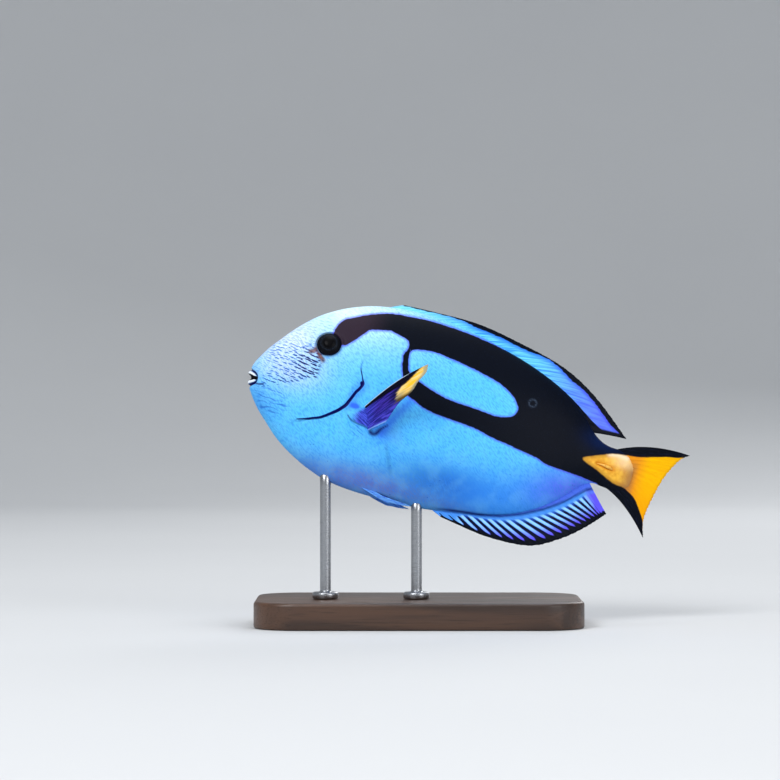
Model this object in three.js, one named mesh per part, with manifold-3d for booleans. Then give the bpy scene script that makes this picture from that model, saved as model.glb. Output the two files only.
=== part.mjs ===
// A regal blue tang, about 21 cm long, swimming nose-up with its tail swung away to its right,
// held by two short rods on a flat base.
// Millimetres, +Z up. The fish faces -X and its left side faces -Y. The origin is the middle of the
// base's underside.
import * as THREE from "three";
import { mergeVertices } from "three/addons/utils/BufferGeometryUtils.js";
import Module from "manifold-3d";

const wasm = await Module();
wasm.setup();

// Pose
const PITCH = THREE.MathUtils.degToRad(16); // nose up
const BANK = THREE.MathUtils.degToRad(12); // belly turned towards -Y
const SWING_START = 90; // the tail starts to swing here, measured from the snout
const SWING_END = 206; // the tail fin's upper tip
const SWING = 28; // how far the tip is carried to the fish's right

// Display stand
const BASE_LENGTH = 150;
const BASE_WIDTH = 84;
const BASE_HEIGHT = 12;
const BASE_CORNER = 20;
const BASE_BEVEL = 1.6;
const ROD_RADIUS = 2.5;
const COLLAR_RADIUS = 6;
const COLLAR_HEIGHT = 3;
const COLLAR_BEVEL = 1;
const ROD_SIDES = 16;
const ROD_OVERRUN = 4; // how far a rod is made past the keel before the body's shape is cut from it
const FRONT_ROD_AT = 47; // along the body, from the snout
const REAR_ROD_AT = 90.5; // between the pelvic fins' tips and the anal fin
const SNOUT_X = -78; // the snout, from the base's middle
const SNOUT_Z = 113.6; // the snout, above the table
const ROD_Y_SHIFT = -0.2; // the rods' rise starts this far from the keel

const GAP = 0.3; // between parts that touch
const RING_POINTS = 18; // points from keel to back on each side of a section
const SOLVE_STEPS = 40; // halvings when a curve is searched for a value
const FAR = 80; // a distance well past the fish, up, down, ahead, behind and to each side

// Cross-sections of the body, from inside the mouth to the root of the tail fin. Each row holds the
// top point (along, up), the bottom point (along, up), the half width, and how far the sides are set
// back, which makes the corners of the mouth.
const SECTIONS = [
  [0.9, 0.5, 1.1, -1.1, 1.8, 0.2], // back of the mouth
  [0.5, 0.9, 0.8, -1.35, 2.6, 0.9],
  [-0.1, 1.3, 0.6, -1.65, 3.3, 2.4], // inner edge of the lips
  [-0.8, 1.9, 0.1, -2.3, 3.9, 3.6], // front of the lips
  [-0.3, 3.0, 0.7, -3.4, 4.4, 3.9],
  [0.5, 3.5, 1.8, -3.9, 4.3, 4.1], // groove behind the lips
  [0.0, 4.7, 1.7, -5.1, 4.9, 3.5],
  [0.7, 7.5, 3.2, -7.4, 6.0, 2.4],
  [2.5, 11.2, 5.4, -10.3, 7.1, 1.4],
  [5.4, 16.2, 9.0, -14.3, 8.2, 0.7],
  [9.2, 21.4, 13.5, -18.4, 9.2, 0.3],
  [14.0, 27.6, 18.5, -22.9, 10.2, 0],
  [20.3, 34.3, 24.3, -27.0, 11.1, 0],
  [27.0, 39.6, 30.6, -30.5, 11.9, 0],
  [36.0, 44.7, 38.3, -33.9, 12.8, 0],
  [47.3, 48.8, 47.7, -36.7, 13.6, 0],
  [60.8, 51.1, 60.8, -38.0, 14.2, 0],
  [76.5, 51.6, 76.5, -37.9, 14.1, 0],
  [92.3, 49.8, 92.3, -37.0, 13.2, 0],
  [108.0, 46.3, 108.0, -34.6, 11.6, 0],
  [123.8, 41.9, 123.8, -31.2, 9.6, 0],
  [135.0, 37.9, 135.0, -26.9, 7.9, 0],
  [146.3, 32.4, 144.9, -20.8, 6.2, 0],
  [154.0, 27.0, 153.0, -13.6, 4.9, 0],
  [159.8, 21.4, 160.0, -5.6, 4.1, 0],
  [164.7, 18.4, 165.4, -2.1, 3.5, 0],
  [169.2, 17.3, 170.0, -2.0, 2.9, 0],
  [174.5, 17.3, 175.0, -2.0, 2.4, 0],
  [179.5, 15.6, 179.8, -0.6, 1.7, 0],
  [182.8, 11.8, 182.8, 2.4, 0.8, 0], // end of the tail stalk
];
const WIDEST = 0.47; // height of a section's widest point, as a share of its depth
const KEEL_SHARPNESS = 1.22; // 1 is a round back and belly, more is sharper
const SHARP_START = 6; // the section where the back and belly begin to sharpen
const SHARP_END = 14; // and the one where they are fully sharp
const OUTER_START = 7; // from this section on the rows run steadily back

// The sections that each length of the body runs through, and its number of steps
const BODY = { from: 0, to: 29, steps: 66 };
const HEAD = { from: 0, to: 16.5, steps: 35 };
const TRUNK = { from: 9, to: 25, steps: 32 };
const STALK = { from: 22, to: 29, steps: 18 };

// Gill slit, as a line on the flank from its upper end to the throat
const GILL_LINE = [
  [48.4, 17.4],
  [50.9, 9.5],
  [48.4, 1.9],
  [43.4, -6.4],
  [36.5, -11.6],
  [29.0, -14.7],
];
const NAPE = [51.0, 34.0];
const THROAT = [23.5, -23.0];
const GILL_STEP = 0.5; // the gill cover's edge stands this far out of the flank behind it
const GILL_STEP_WIDTH = 7;
const GILL_SAMPLES = 40;
const PART_STEPS = 44;
const FIN_PAD = { at: [53.0, -6.5], radius: 5.5, height: 0.7 }; // flesh at the root of the pectoral fin
const STALK_START = 159.2; // where the trunk ends and the tail stalk begins

// Eyes
const EYE_AT = [31.4, 23.0];
const EYE_RADIUS = 6.1;
const EYE_FLATNESS = 0.72;
const EYE_SUNK = 1.9; // the eye's middle below the skin
const EYE_SIDES = 20;
const RIM_TUBE = 0.75; // fold of skin round the eye
const RIM_INSET = 0.1;
const RIM_SUNK = 0.35;

const NOSTRILS = [
  { at: [20.6, 18.6], radius: 0.55 },
  { at: [23.2, 20.3], radius: 0.75 },
];
const NOSTRIL_DEPTH = 1.6;
const NOSTRIL_MOUTH = 1.3; // radius at its mouth, as a share of the nostril's own
const NOSTRIL_FLOOR = 0.6;
const NOSTRIL_SIDES = 10;

// Fins
const MEMBRANE = 0.25; // half the thickness between two rays
const RAY = 0.55; // half the thickness on a ray at its root
const RAY_TIP = 0.32; // and at its tip
const RIDGE_SHARE = 0.27; // half a ridge's width, as a share of the distance between two rays
const ROOT_DEPTH = 1.5; // how deep a fin's blade starts inside the body, before it is cut off there
const DORSAL = {
  rays: 28,
  rows: 4,
  baseStart: 50.5,
  baseEnd: 159.0,
  crowd: 0, // how much closer together the last rays stand than the middle ones
  sweeps: [9, 13, 17, 20, 21, 17], // how far the rays lean back, from the first to the last
  bow: 0.25, // how much more upright a leaning ray starts than it ends
  margin: [
    [48, 49.2],
    [56, 52.4],
    [74, 53.7],
    [95, 54.0],
    [115, 51.0],
    [138, 46.0],
    [156, 37.6],
    [176, 23.4],
  ],
};
const ANAL = {
  rays: 22,
  rows: 5,
  baseStart: 95.5,
  baseEnd: 163.5,
  crowd: 0.35,
  sweeps: [7, 17.5, 23.5, 23.5, 19, 12.5],
  bow: 0.1,
  margin: [
    [95, -36.9],
    [108, -39.0],
    [126, -41.0],
    [145, -39.2],
    [158, -31.8],
    [168, -22.8],
    [177, -12.2],
  ],
};
const CAUDAL = {
  rays: 16,
  rows: 6,
  upperRoot: [172.5, 17.0],
  lowerRoot: [172.5, -1.7],
  upperBulge: [187, 25.8],
  lowerBulge: [184.0, -5.0],
  // the rear edge, from the upper tip to the lower one
  edge: [
    [208.4, 28.1],
    [203.8, 23.6],
    [198.8, 13.5],
    [195.6, 1.5],
    [194.1, -9.4],
    [196.2, -17.6],
  ],
};
// A pectoral fin's rays run from a line on the flank to tips that stand out from it. Each point is
// (along, out from the middle, up), from the leading ray to the last one.
const PECTORAL = {
  rays: 16,
  rows: 6,
  rootStart: [54.0, -2.4],
  rootEnd: [58.6, -11.6],
  cup: 1.6, // how far the blade bows outwards
  lift: [1.3, -0.2], // how far its first and last rays bow upwards, as a share of that
  tips: [
    [77.5, 37.0, 21.0],
    [77.6, 36.4, 17.2],
    [75.2, 34.4, 12.4],
    [73.6, 30.6, 7.8],
    [69.6, 25.6, 2.4],
    [66.2, 20.6, -6.8],
  ],
};
const PELVIC = {
  rays: 4,
  rows: 6,
  rootStart: [61.0, 3.0, -35.0],
  rootEnd: [67.0, 2.6, -35.4],
  cup: 0.6,
  lift: [-0.5, -0.5],
  tips: [
    [77.0, 3.2, -39.4],
    [83.5, 3.6, -38.8],
    [87.5, 3.8, -38.0],
    [82.0, 3.9, -37.2],
  ],
};

// Folding spine on each side of the tail stalk
const SPINE = { tip: 164.0, root: 172.0, up: 6.9, height: 1.6, out: 1.1 };

// Colours
const paint = (hex, roughness, metalness = 0) =>
  new THREE.MeshStandardMaterial({ color: hex, roughness, metalness });
const BLUE = paint(0x4aa8ee, 0.45);
const BLACK = paint(0x0b1320, 0.45);
const YELLOW = paint(0xf7b50a, 0.45);
const FIN_BLUE = paint(0x5c86ea, 0.5);
const EYE_BLACK = paint(0x08090c, 0.12);
const BONE = paint(0xd9cf9a, 0.4);
const WALNUT = paint(0x4a3224, 0.5);
const STEEL = paint(0xb9bcc0, 0.3, 1);

// Catmull-Rom curve through the rows of a table, with t counted in rows
function through(rows, t) {
  const last = rows.length - 1;
  const i = Math.min(Math.max(Math.floor(t), 0), last - 1);
  const f = t - i;
  const [a, b, c, d] = [i - 1, i, i + 1, i + 2].map((k) => rows[Math.min(Math.max(k, 0), last)]);
  return b.map(
    (_, k) =>
      0.5 *
      (2 * b[k] +
        (c[k] - a[k]) * f +
        (2 * a[k] - 5 * b[k] + 4 * c[k] - d[k]) * f * f +
        (3 * b[k] - a[k] - 3 * c[k] + d[k]) * f * f * f),
  );
}

// The same through a list of numbers
const throughValues = (values, t) => through(values.map((value) => [value]), t)[0];

// Finds t in [low, high] where a rising function reaches a value
function solve(f, value, low, high) {
  for (let n = 0; n < SOLVE_STEPS; n++) {
    const middle = (low + high) / 2;
    if (f(middle) < value) low = middle;
    else high = middle;
  }
  return (low + high) / 2;
}

const smooth = (x) => {
  const c = Math.min(Math.max(x, 0), 1);
  return c * c * (3 - 2 * c);
};

// The tail's swing: every point is given as (along, across, up) and moves with the body's bent axis
function swung(along, across, up) {
  const reach = Math.max(0, along - SWING_START) / (SWING_END - SWING_START);
  const offset = SWING * reach ** 3;
  const heading = Math.atan((3 * SWING * reach ** 2) / (SWING_END - SWING_START));
  return new THREE.Vector3(
    along - across * Math.sin(heading),
    offset + across * Math.cos(heading),
    up,
  );
}

// One point of the skin: t counts sections and angle runs from -90 at the belly to 90 at the back
function skinPoint(t, angle, grow = 0) {
  const [topS, topZ, bottomS, bottomZ, width, back] = through(SECTIONS, t);
  const middleS = bottomS + WIDEST * (topS - bottomS);
  const middleZ = bottomZ + WIDEST * (topZ - bottomZ);
  const [edgeS, edgeZ] = angle > 0 ? [topS, topZ + grow] : [bottomS, bottomZ - grow];
  const rise = Math.abs(Math.sin(angle));
  const side = Math.cos(angle);
  const sharp = 1 + (KEEL_SHARPNESS - 1) * smooth((t - SHARP_START) / (SHARP_END - SHARP_START));
  return {
    along: middleS + (edgeS - middleS) * rise + back * side * side,
    across: (width + grow) * Math.max(side, 0) ** sharp,
    up: middleZ + (edgeZ - middleZ) * rise,
  };
}

// Half width of the body at a place on the flank
const LAST = SECTIONS.length - 1;
function flank(along, up) {
  const angleAt = (t) => {
    const [, topZ, , bottomZ] = through(SECTIONS, t);
    const middleZ = bottomZ + WIDEST * (topZ - bottomZ);
    const rise = up > middleZ ? (up - middleZ) / (topZ - middleZ) : (up - middleZ) / (middleZ - bottomZ);
    return Math.asin(Math.min(Math.max(rise, -1), 1));
  };
  const t = solve((x) => skinPoint(x, angleAt(x)).along, along, OUTER_START, LAST);
  return skinPoint(t, angleAt(t)).across;
}

// Outward direction of the skin on the fish's right side, without the swing
function flankNormal(along, up) {
  const step = 0.5;
  const bySlope = (flank(along + step, up) - flank(along - step, up)) / (2 * step);
  const byRise = (flank(along, up + step) - flank(along, up - step)) / (2 * step);
  return new THREE.Vector3(-bySlope, 1, -byRise).normalize();
}

// Where t puts the top or bottom of the body at a distance along it
const sectionAt = (along, column) => solve((t) => through(SECTIONS, t)[column], along, OUTER_START, LAST);

// A geometry from points and triangles
function meshOf(points, triangles) {
  const g = new THREE.BufferGeometry();
  g.setAttribute("position", new THREE.Float32BufferAttribute(points.flatMap((p) => p.toArray()), 3));
  g.setIndex(triangles.flat());
  return g;
}

function solidOf(geometry) {
  const g = geometry.clone();
  for (const name of ["normal", "uv"]) if (g.getAttribute(name)) g.deleteAttribute(name);
  const merged = mergeVertices(g, 1e-3);
  return new wasm.Manifold(
    new wasm.Mesh({
      numProp: 3,
      vertProperties: new Float32Array(merged.attributes.position.array),
      triVerts: new Uint32Array(merged.index.array),
    }),
  );
}

// The solid that points and triangles close, with its faces pointing out
function closedSolid(points, triangles) {
  const solid = solidOf(meshOf(points, triangles));
  return solid.volume() > 0 ? solid : solidOf(meshOf(points, triangles.map(([a, b, c]) => [a, c, b])));
}

// The largest closed body of a solid, as a geometry
function geometryOf(solid) {
  const largest = solid.decompose().reduce((a, b) => (b.volume() > a.volume() ? b : a));
  const mesh = largest.getMesh();
  const g = new THREE.BufferGeometry();
  const count = mesh.vertProperties.length / mesh.numProp;
  const points = new Float32Array(count * 3);
  for (let i = 0; i < count; i++)
    points.set(mesh.vertProperties.subarray(i * mesh.numProp, i * mesh.numProp + 3), i * 3);
  g.setAttribute("position", new THREE.BufferAttribute(points, 3));
  g.setIndex(new THREE.BufferAttribute(new Uint32Array(mesh.triVerts), 1));
  g.computeVertexNormals();
  return g;
}

// A length of the body, closed at both ends. relief(along, up) moves the skin sideways.
function bodySolid({ from, to, steps }, grow = 0, relief = () => 0) {
  const points = [];
  const triangles = [];
  const half = RING_POINTS;
  const ring = 2 * half;
  for (let i = 0; i <= steps; i++) {
    const t = from + ((to - from) * i) / steps;
    for (let k = 0; k < ring; k++) {
      const turn = (Math.PI * k) / half - Math.PI / 2;
      const right = k < half;
      const p = skinPoint(t, right ? turn : Math.PI - turn, grow);
      const across = p.across > 0 ? Math.max(p.across + relief(p.along, p.up), 0) : 0;
      points.push(swung(p.along, right ? across : -across, p.up));
    }
  }
  for (let i = 0; i < steps; i++)
    for (let k = 0; k < ring; k++) {
      const [a, b] = [i * ring + k, i * ring + ((k + 1) % ring)];
      triangles.push([a, a + ring, b], [b, a + ring, b + ring]);
    }
  for (const [start, flip] of [
    [0, false],
    [steps * ring, true],
  ]) {
    const middle = points.length;
    const sum = new THREE.Vector3();
    for (let k = 0; k < ring; k++) sum.add(points[start + k]);
    points.push(sum.divideScalar(ring));
    for (let k = 0; k < ring; k++) {
      const [a, b] = [start + k, start + ((k + 1) % ring)];
      triangles.push(flip ? [b, a, middle] : [a, b, middle]);
    }
  }
  return closedSolid(points, triangles);
}

// A closed outline in (along, up), made into a block that crosses the whole fish
function block(outline) {
  const shape = new THREE.Shape(outline.map(([s, z]) => new THREE.Vector2(s, z)));
  const g = new THREE.ExtrudeGeometry(shape, { depth: 2 * FAR, bevelEnabled: false });
  return solidOf(g.rotateX(Math.PI / 2).translate(0, FAR, 0));
}

// The line that parts the head from the trunk: down the nape, along the gill slit and down the throat
const PART_LINE = [[NAPE[0] + 1.5, FAR], NAPE, ...GILL_LINE, THROAT, [THROAT[0] - 3, -FAR]];
function partLine(shift) {
  const rows = [];
  const near = 0.05;
  for (let i = 0; i <= PART_STEPS; i++) {
    const t = ((PART_LINE.length - 1) * i) / PART_STEPS;
    const [s, z] = through(PART_LINE, t);
    const [s2, z2] = through(PART_LINE, Math.min(t + near, PART_LINE.length - 1));
    const [s1, z1] = through(PART_LINE, Math.max(t - near, 0));
    const length = Math.hypot(s2 - s1, z2 - z1);
    rows.push([s - (shift * (z2 - z1)) / length, z + (shift * (s2 - s1)) / length]);
  }
  return rows;
}
const headRegion = (shift) => block([[-FAR, FAR], ...partLine(shift), [-FAR, -FAR]]);

// Distance from a place on the flank to the gill slit
const GILL_POINTS = Array.from({ length: GILL_SAMPLES }, (_, i) =>
  through(GILL_LINE, ((GILL_LINE.length - 1) * i) / (GILL_SAMPLES - 1)),
);
const gillDistance = (s, z) => Math.min(...GILL_POINTS.map(([a, b]) => Math.hypot(s - a, z - b)));
const gillEdge = (s, z) => Math.exp(-((gillDistance(s, z) / GILL_STEP_WIDTH) ** 2));
const headRelief = (s, z) => GILL_STEP * gillEdge(s, z);
function trunkRelief(s, z) {
  const fromPad = Math.hypot(s - FIN_PAD.at[0], z - FIN_PAD.at[1]) / FIN_PAD.radius;
  return FIN_PAD.height * Math.exp(-(fromPad ** 2)) - GILL_STEP * gillEdge(s, z);
}

// A thin blade from a grid of points: rows run from the root to the margin, columns across the rays.
// Both faces are split alike, and half the thickness is given at each point.
function blade(columns, rows, pointAt, outAt, halfAt) {
  const points = [];
  for (const side of [1, -1])
    for (let i = 0; i < columns; i++)
      for (let j = 0; j < rows; j++)
        points.push(pointAt(i, j).clone().addScaledVector(outAt(i, j), side * halfAt(i, j)));
  const at = (side, i, j) => side * columns * rows + i * rows + j;
  const triangles = [];
  for (let i = 0; i < columns - 1; i++)
    for (let j = 0; j < rows - 1; j++) {
      const [a, b, c, d] = [
        [i, j],
        [i + 1, j],
        [i + 1, j + 1],
        [i, j + 1],
      ];
      triangles.push([at(0, ...a), at(0, ...b), at(0, ...c)], [at(0, ...a), at(0, ...c), at(0, ...d)]);
      triangles.push([at(1, ...a), at(1, ...c), at(1, ...b)], [at(1, ...a), at(1, ...d), at(1, ...c)]);
    }
  const wall = (p, q) => {
    triangles.push([at(0, ...q), at(0, ...p), at(1, ...p)], [at(0, ...q), at(1, ...p), at(1, ...q)]);
  };
  for (let i = 0; i < columns - 1; i++) {
    wall([i, 0], [i + 1, 0]);
    wall([i + 1, rows - 1], [i, rows - 1]);
  }
  for (let j = 0; j < rows - 1; j++) {
    wall([columns - 1, j], [columns - 1, j + 1]);
    wall([0, j + 1], [0, j]);
  }
  return closedSolid(points, triangles);
}

// A fin with its rays raised as ridges. curve(f, v) gives a point, with f from the first ray to the
// last and v from root to margin. Each ray takes a ridge column and a membrane column on each side.
function finBlade(fin, curve) {
  const across = [];
  for (let k = 0; k < fin.rays; k++) {
    across.push({ f: k / (fin.rays - 1), ridge: true });
    if (k < fin.rays - 1)
      for (const share of [RIDGE_SHARE, 1 - RIDGE_SHARE])
        across.push({ f: (k + share) / (fin.rays - 1), ridge: false });
  }
  const grid = across.map(({ f }) =>
    Array.from({ length: fin.rows }, (_, j) => curve(f, j / (fin.rows - 1))),
  );
  const half = (i, j) => {
    const v = j / (fin.rows - 1);
    return across[i].ridge ? RAY + (RAY_TIP - RAY) * v : MEMBRANE;
  };
  return blade(across.length, fin.rows, (i, j) => grid[i][j], (i, j) => gridNormal(grid, i, j), half);
}

// Direction across a blade, from its grid of points
function gridNormal(grid, i, j) {
  const [i0, i1] = [Math.max(i - 1, 0), Math.min(i + 1, grid.length - 1)];
  const [j0, j1] = [Math.max(j - 1, 0), Math.min(j + 1, grid[0].length - 1)];
  const u = grid[i1][j].clone().sub(grid[i0][j]);
  const v = grid[i][j1].clone().sub(grid[i][j0]);
  return u.cross(v).normalize();
}

// A point in the plane that halves the fish
const middlePoint = (along, up) => swung(along, 0, up);

// Dorsal and anal fins: the root follows the body's edge and the rays lean back to the margin
function edgeFin(fin, column) {
  const inward = column === 0 ? -ROOT_DEPTH : ROOT_DEPTH;
  const marginAt = (along) => {
    const t = solve((x) => through(fin.margin, x)[0], along, 0, fin.margin.length - 1);
    return through(fin.margin, t)[1];
  };
  return finBlade(fin, (f, v) => {
    const share = f + fin.crowd * f * (1 - f);
    const baseAlong = fin.baseStart + (fin.baseEnd - fin.baseStart) * share;
    const baseUp = through(SECTIONS, sectionAt(baseAlong, column))[column + 1] + inward;
    const sweep = throughValues(fin.sweeps, (fin.sweeps.length - 1) * f);
    const tipUp = marginAt(baseAlong + sweep);
    const lean = v - fin.bow * v * (1 - v);
    return middlePoint(baseAlong + sweep * lean, baseUp + (tipUp - baseUp) * v);
  });
}

// Tail fin: each ray bows from the stalk's end to the rear edge
function tailFin() {
  const mix = (a, b, f) => [a[0] + (b[0] - a[0]) * f, a[1] + (b[1] - a[1]) * f];
  return finBlade(CAUDAL, (f, v) => {
    const root = mix(CAUDAL.upperRoot, CAUDAL.lowerRoot, f);
    const bulge = mix(CAUDAL.upperBulge, CAUDAL.lowerBulge, f);
    const tip = through(CAUDAL.edge, (CAUDAL.edge.length - 1) * f);
    const [s, z] = mix(mix(root, bulge, v), mix(bulge, tip, v), v);
    return middlePoint(s, z);
  });
}

// Paired fins, built for the fish's right side: their rays run from a line on the skin to the tips
function pairedFin(fin, rootAt) {
  return finBlade(fin, (f, v) => {
    const root = rootAt(f);
    const tip = new THREE.Vector3(...through(fin.tips, (fin.tips.length - 1) * f));
    const bow = fin.cup * Math.sin(Math.PI * v);
    const lift = fin.lift[0] + (fin.lift[1] - fin.lift[0]) * f;
    return root.lerp(tip, v).add(new THREE.Vector3(0, bow, bow * lift));
  });
}
function pectoralRoot(f) {
  const along = PECTORAL.rootStart[0] + (PECTORAL.rootEnd[0] - PECTORAL.rootStart[0]) * f;
  const up = PECTORAL.rootStart[1] + (PECTORAL.rootEnd[1] - PECTORAL.rootStart[1]) * f;
  return new THREE.Vector3(along, flank(along, up) - ROOT_DEPTH, up);
}
const pelvicRoot = (f) =>
  new THREE.Vector3(...PELVIC.rootStart).lerp(new THREE.Vector3(...PELVIC.rootEnd), f);

const mirrored = (solid) => solid.mirror([0, 1, 0]);

// Body
const headSkin = bodySolid(HEAD, 0, headRelief);
const trunkSkin = bodySolid(TRUNK, 0, trunkRelief);
const stalkSkin = bodySolid(STALK);
const grown = bodySolid(BODY, GAP, trunkRelief); // what the fins, spines and rods are cut clear of

// Eyes and the raised rim of skin round each
function eyeFrame(sunk) {
  const normal = flankNormal(...EYE_AT);
  const surface = new THREE.Vector3(EYE_AT[0], flank(...EYE_AT), EYE_AT[1]);
  const turn = new THREE.Quaternion().setFromUnitVectors(new THREE.Vector3(0, 0, 1), normal);
  const middle = surface.addScaledVector(normal, -sunk);
  return new THREE.Matrix4().compose(middle, turn, new THREE.Vector3(1, 1, 1));
}
function eyeball(grow) {
  const g = new THREE.SphereGeometry(EYE_RADIUS + grow, EYE_SIDES, 12).rotateX(Math.PI / 2);
  const flat = (EYE_RADIUS * EYE_FLATNESS + grow) / (EYE_RADIUS + grow);
  return solidOf(g.scale(1, 1, flat).applyMatrix4(eyeFrame(EYE_SUNK)));
}
const rim = solidOf(
  new THREE.TorusGeometry(EYE_RADIUS - RIM_INSET, RIM_TUBE, 6, 24).applyMatrix4(eyeFrame(RIM_SUNK)),
);

// Nostrils
const nostrils = NOSTRILS.map(({ at, radius }) => {
  const normal = flankNormal(...at);
  const turn = new THREE.Quaternion().setFromUnitVectors(new THREE.Vector3(0, 1, 0), normal);
  const place = new THREE.Vector3(at[0], flank(...at), at[1]);
  const [mouth, floor] = [radius * NOSTRIL_MOUTH, radius * NOSTRIL_FLOOR];
  const pit = new THREE.CylinderGeometry(mouth, floor, NOSTRIL_DEPTH * 2, NOSTRIL_SIDES);
  return solidOf(pit.applyQuaternion(turn).translate(...place.toArray()));
});

let head = headSkin.intersect(headRegion(0)).add(rim).add(mirrored(rim));
head = head.subtract(eyeball(GAP)).subtract(mirrored(eyeball(GAP)));
for (const pit of nostrils) head = head.subtract(pit).subtract(mirrored(pit));

const rearOf = (along) =>
  block([
    [along, FAR],
    [SWING_END + FAR, FAR],
    [SWING_END + FAR, -FAR],
    [along, -FAR],
  ]);
const trunk = trunkSkin.subtract(headRegion(GAP)).subtract(rearOf(STALK_START));
const stalk = stalkSkin.intersect(rearOf(STALK_START + GAP));

// Folding spine of the tail stalk: it lies along the skin with its tip forward, swells quickly
// behind the tip and narrows again where it enters the skin. side is 1 on the right and -1 on the left.
function foldedSpine(side) {
  const points = [];
  const length = SPINE.root - SPINE.tip;
  const rings = 5;
  const sides = 6;
  for (let i = 0; i <= rings; i++) {
    const share = i / rings;
    const size = Math.sin(Math.PI * 0.5 * Math.min(1, share * 1.25 + 0.06)) * (share === 1 ? 0.6 : 1);
    const along = SPINE.tip + length * share;
    for (let k = 0; k < sides; k++) {
      const a = (2 * Math.PI * k) / sides;
      const across = side * (flank(along, SPINE.up) + SPINE.out * size * (0.35 + 0.65 * Math.cos(a)));
      points.push(swung(along, across, SPINE.up + 0.5 * SPINE.height * size * Math.sin(a)));
    }
  }
  const triangles = [];
  for (let i = 0; i < rings; i++)
    for (let k = 0; k < sides; k++) {
      const [a, b] = [i * sides + k, i * sides + ((k + 1) % sides)];
      triangles.push([a, b, a + sides], [b, b + sides, a + sides]);
    }
  for (let k = 1; k < sides - 1; k++) {
    triangles.push([0, k + 1, k]);
    triangles.push([rings * sides, rings * sides + k, rings * sides + k + 1]);
  }
  return closedSolid(points, triangles);
}

// The fish
const bankGroup = new THREE.Group();
bankGroup.rotation.x = -BANK;
const pitchGroup = new THREE.Group();
pitchGroup.rotation.y = PITCH;
pitchGroup.position.set(SNOUT_X, 0, SNOUT_Z);
pitchGroup.add(bankGroup);

function part(name, solid, material, parent = bankGroup) {
  const mesh = new THREE.Mesh(geometryOf(solid), material);
  mesh.name = name;
  parent.add(mesh);
  return mesh;
}

const dorsal = edgeFin(DORSAL, 0).subtract(grown);
const anal = edgeFin(ANAL, 2).subtract(grown);
const caudal = tailFin().subtract(grown);
const pectoral = pairedFin(PECTORAL, pectoralRoot).subtract(grown);
const pelvic = pairedFin(PELVIC, pelvicRoot).subtract(grown);

part("head", head, BLUE);
part("trunk", trunk, BLUE);
part("tail_stalk", stalk, BLACK);
part("eye_right", eyeball(0), EYE_BLACK);
part("eye_left", mirrored(eyeball(0)), EYE_BLACK);
part("dorsal_fin", dorsal, FIN_BLUE);
part("anal_fin", anal, FIN_BLUE);
part("tail_fin", caudal, YELLOW);
part("pectoral_fin_right", pectoral, FIN_BLUE);
part("pectoral_fin_left", mirrored(pectoral), FIN_BLUE);
part("pelvic_fin_right", pelvic, FIN_BLUE);
part("pelvic_fin_left", mirrored(pelvic), FIN_BLUE);
part("tail_spine_right", foldedSpine(1).subtract(grown), BONE);
part("tail_spine_left", foldedSpine(-1).subtract(grown), BONE);

// Display stand
function roundedPlate(length, width, corner) {
  const [x, y] = [length / 2 - corner, width / 2 - corner];
  const shape = new THREE.Shape();
  shape.absarc(x, y, corner, 0, Math.PI / 2);
  shape.absarc(-x, y, corner, Math.PI / 2, Math.PI);
  shape.absarc(-x, -y, corner, Math.PI, 1.5 * Math.PI);
  shape.absarc(x, -y, corner, 1.5 * Math.PI, 2 * Math.PI);
  return shape;
}
const stand = new THREE.Group();
const plate = new THREE.ExtrudeGeometry(
  roundedPlate(BASE_LENGTH - 2 * BASE_BEVEL, BASE_WIDTH - 2 * BASE_BEVEL, BASE_CORNER),
  {
    depth: BASE_HEIGHT - 2 * BASE_BEVEL,
    bevelThickness: BASE_BEVEL,
    bevelSize: BASE_BEVEL,
    bevelSegments: 2,
    curveSegments: 5,
  },
);
part("stand_base", solidOf(plate.translate(0, 0, BASE_BEVEL)), WALNUT, stand);

// Each rod rises from a collar on the base to the keel
pitchGroup.updateMatrixWorld(true);
const grownInPlace = grown.transform(bankGroup.matrixWorld.elements);
function rodSolid(along) {
  const keel = through(SECTIONS, sectionAt(along, 2))[3];
  const top = swung(along, ROD_Y_SHIFT, keel).applyMatrix4(bankGroup.matrixWorld);
  const foot = BASE_HEIGHT + GAP;
  const profile = [
    [0, foot],
    [COLLAR_RADIUS, foot],
    [COLLAR_RADIUS, foot + COLLAR_HEIGHT - COLLAR_BEVEL],
    [COLLAR_RADIUS - COLLAR_BEVEL, foot + COLLAR_HEIGHT],
    [ROD_RADIUS, foot + COLLAR_HEIGHT],
    [ROD_RADIUS, top.z + ROD_OVERRUN],
    [0, top.z + ROD_OVERRUN],
  ].map(([r, z]) => new THREE.Vector2(r, z));
  const g = new THREE.LatheGeometry(profile, ROD_SIDES).rotateX(Math.PI / 2);
  return solidOf(g.translate(top.x, top.y, 0)).subtract(grownInPlace);
}
part("stand_rod_front", rodSolid(FRONT_ROD_AT), STEEL, stand);
part("stand_rod_rear", rodSolid(REAR_ROD_AT), STEEL, stand);

const model = new THREE.Group();
model.add(pitchGroup, stand);
export default model;
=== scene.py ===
"""A regal blue tang, life size, as a still museum model on a plain stand, in a pale studio.

The fish is worked out in millimetres on a straight fish: along runs back from the snout, across to
its right and up to its back. placed() then swings the tail, sets the pose and gives metres.
"""
import math

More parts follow.
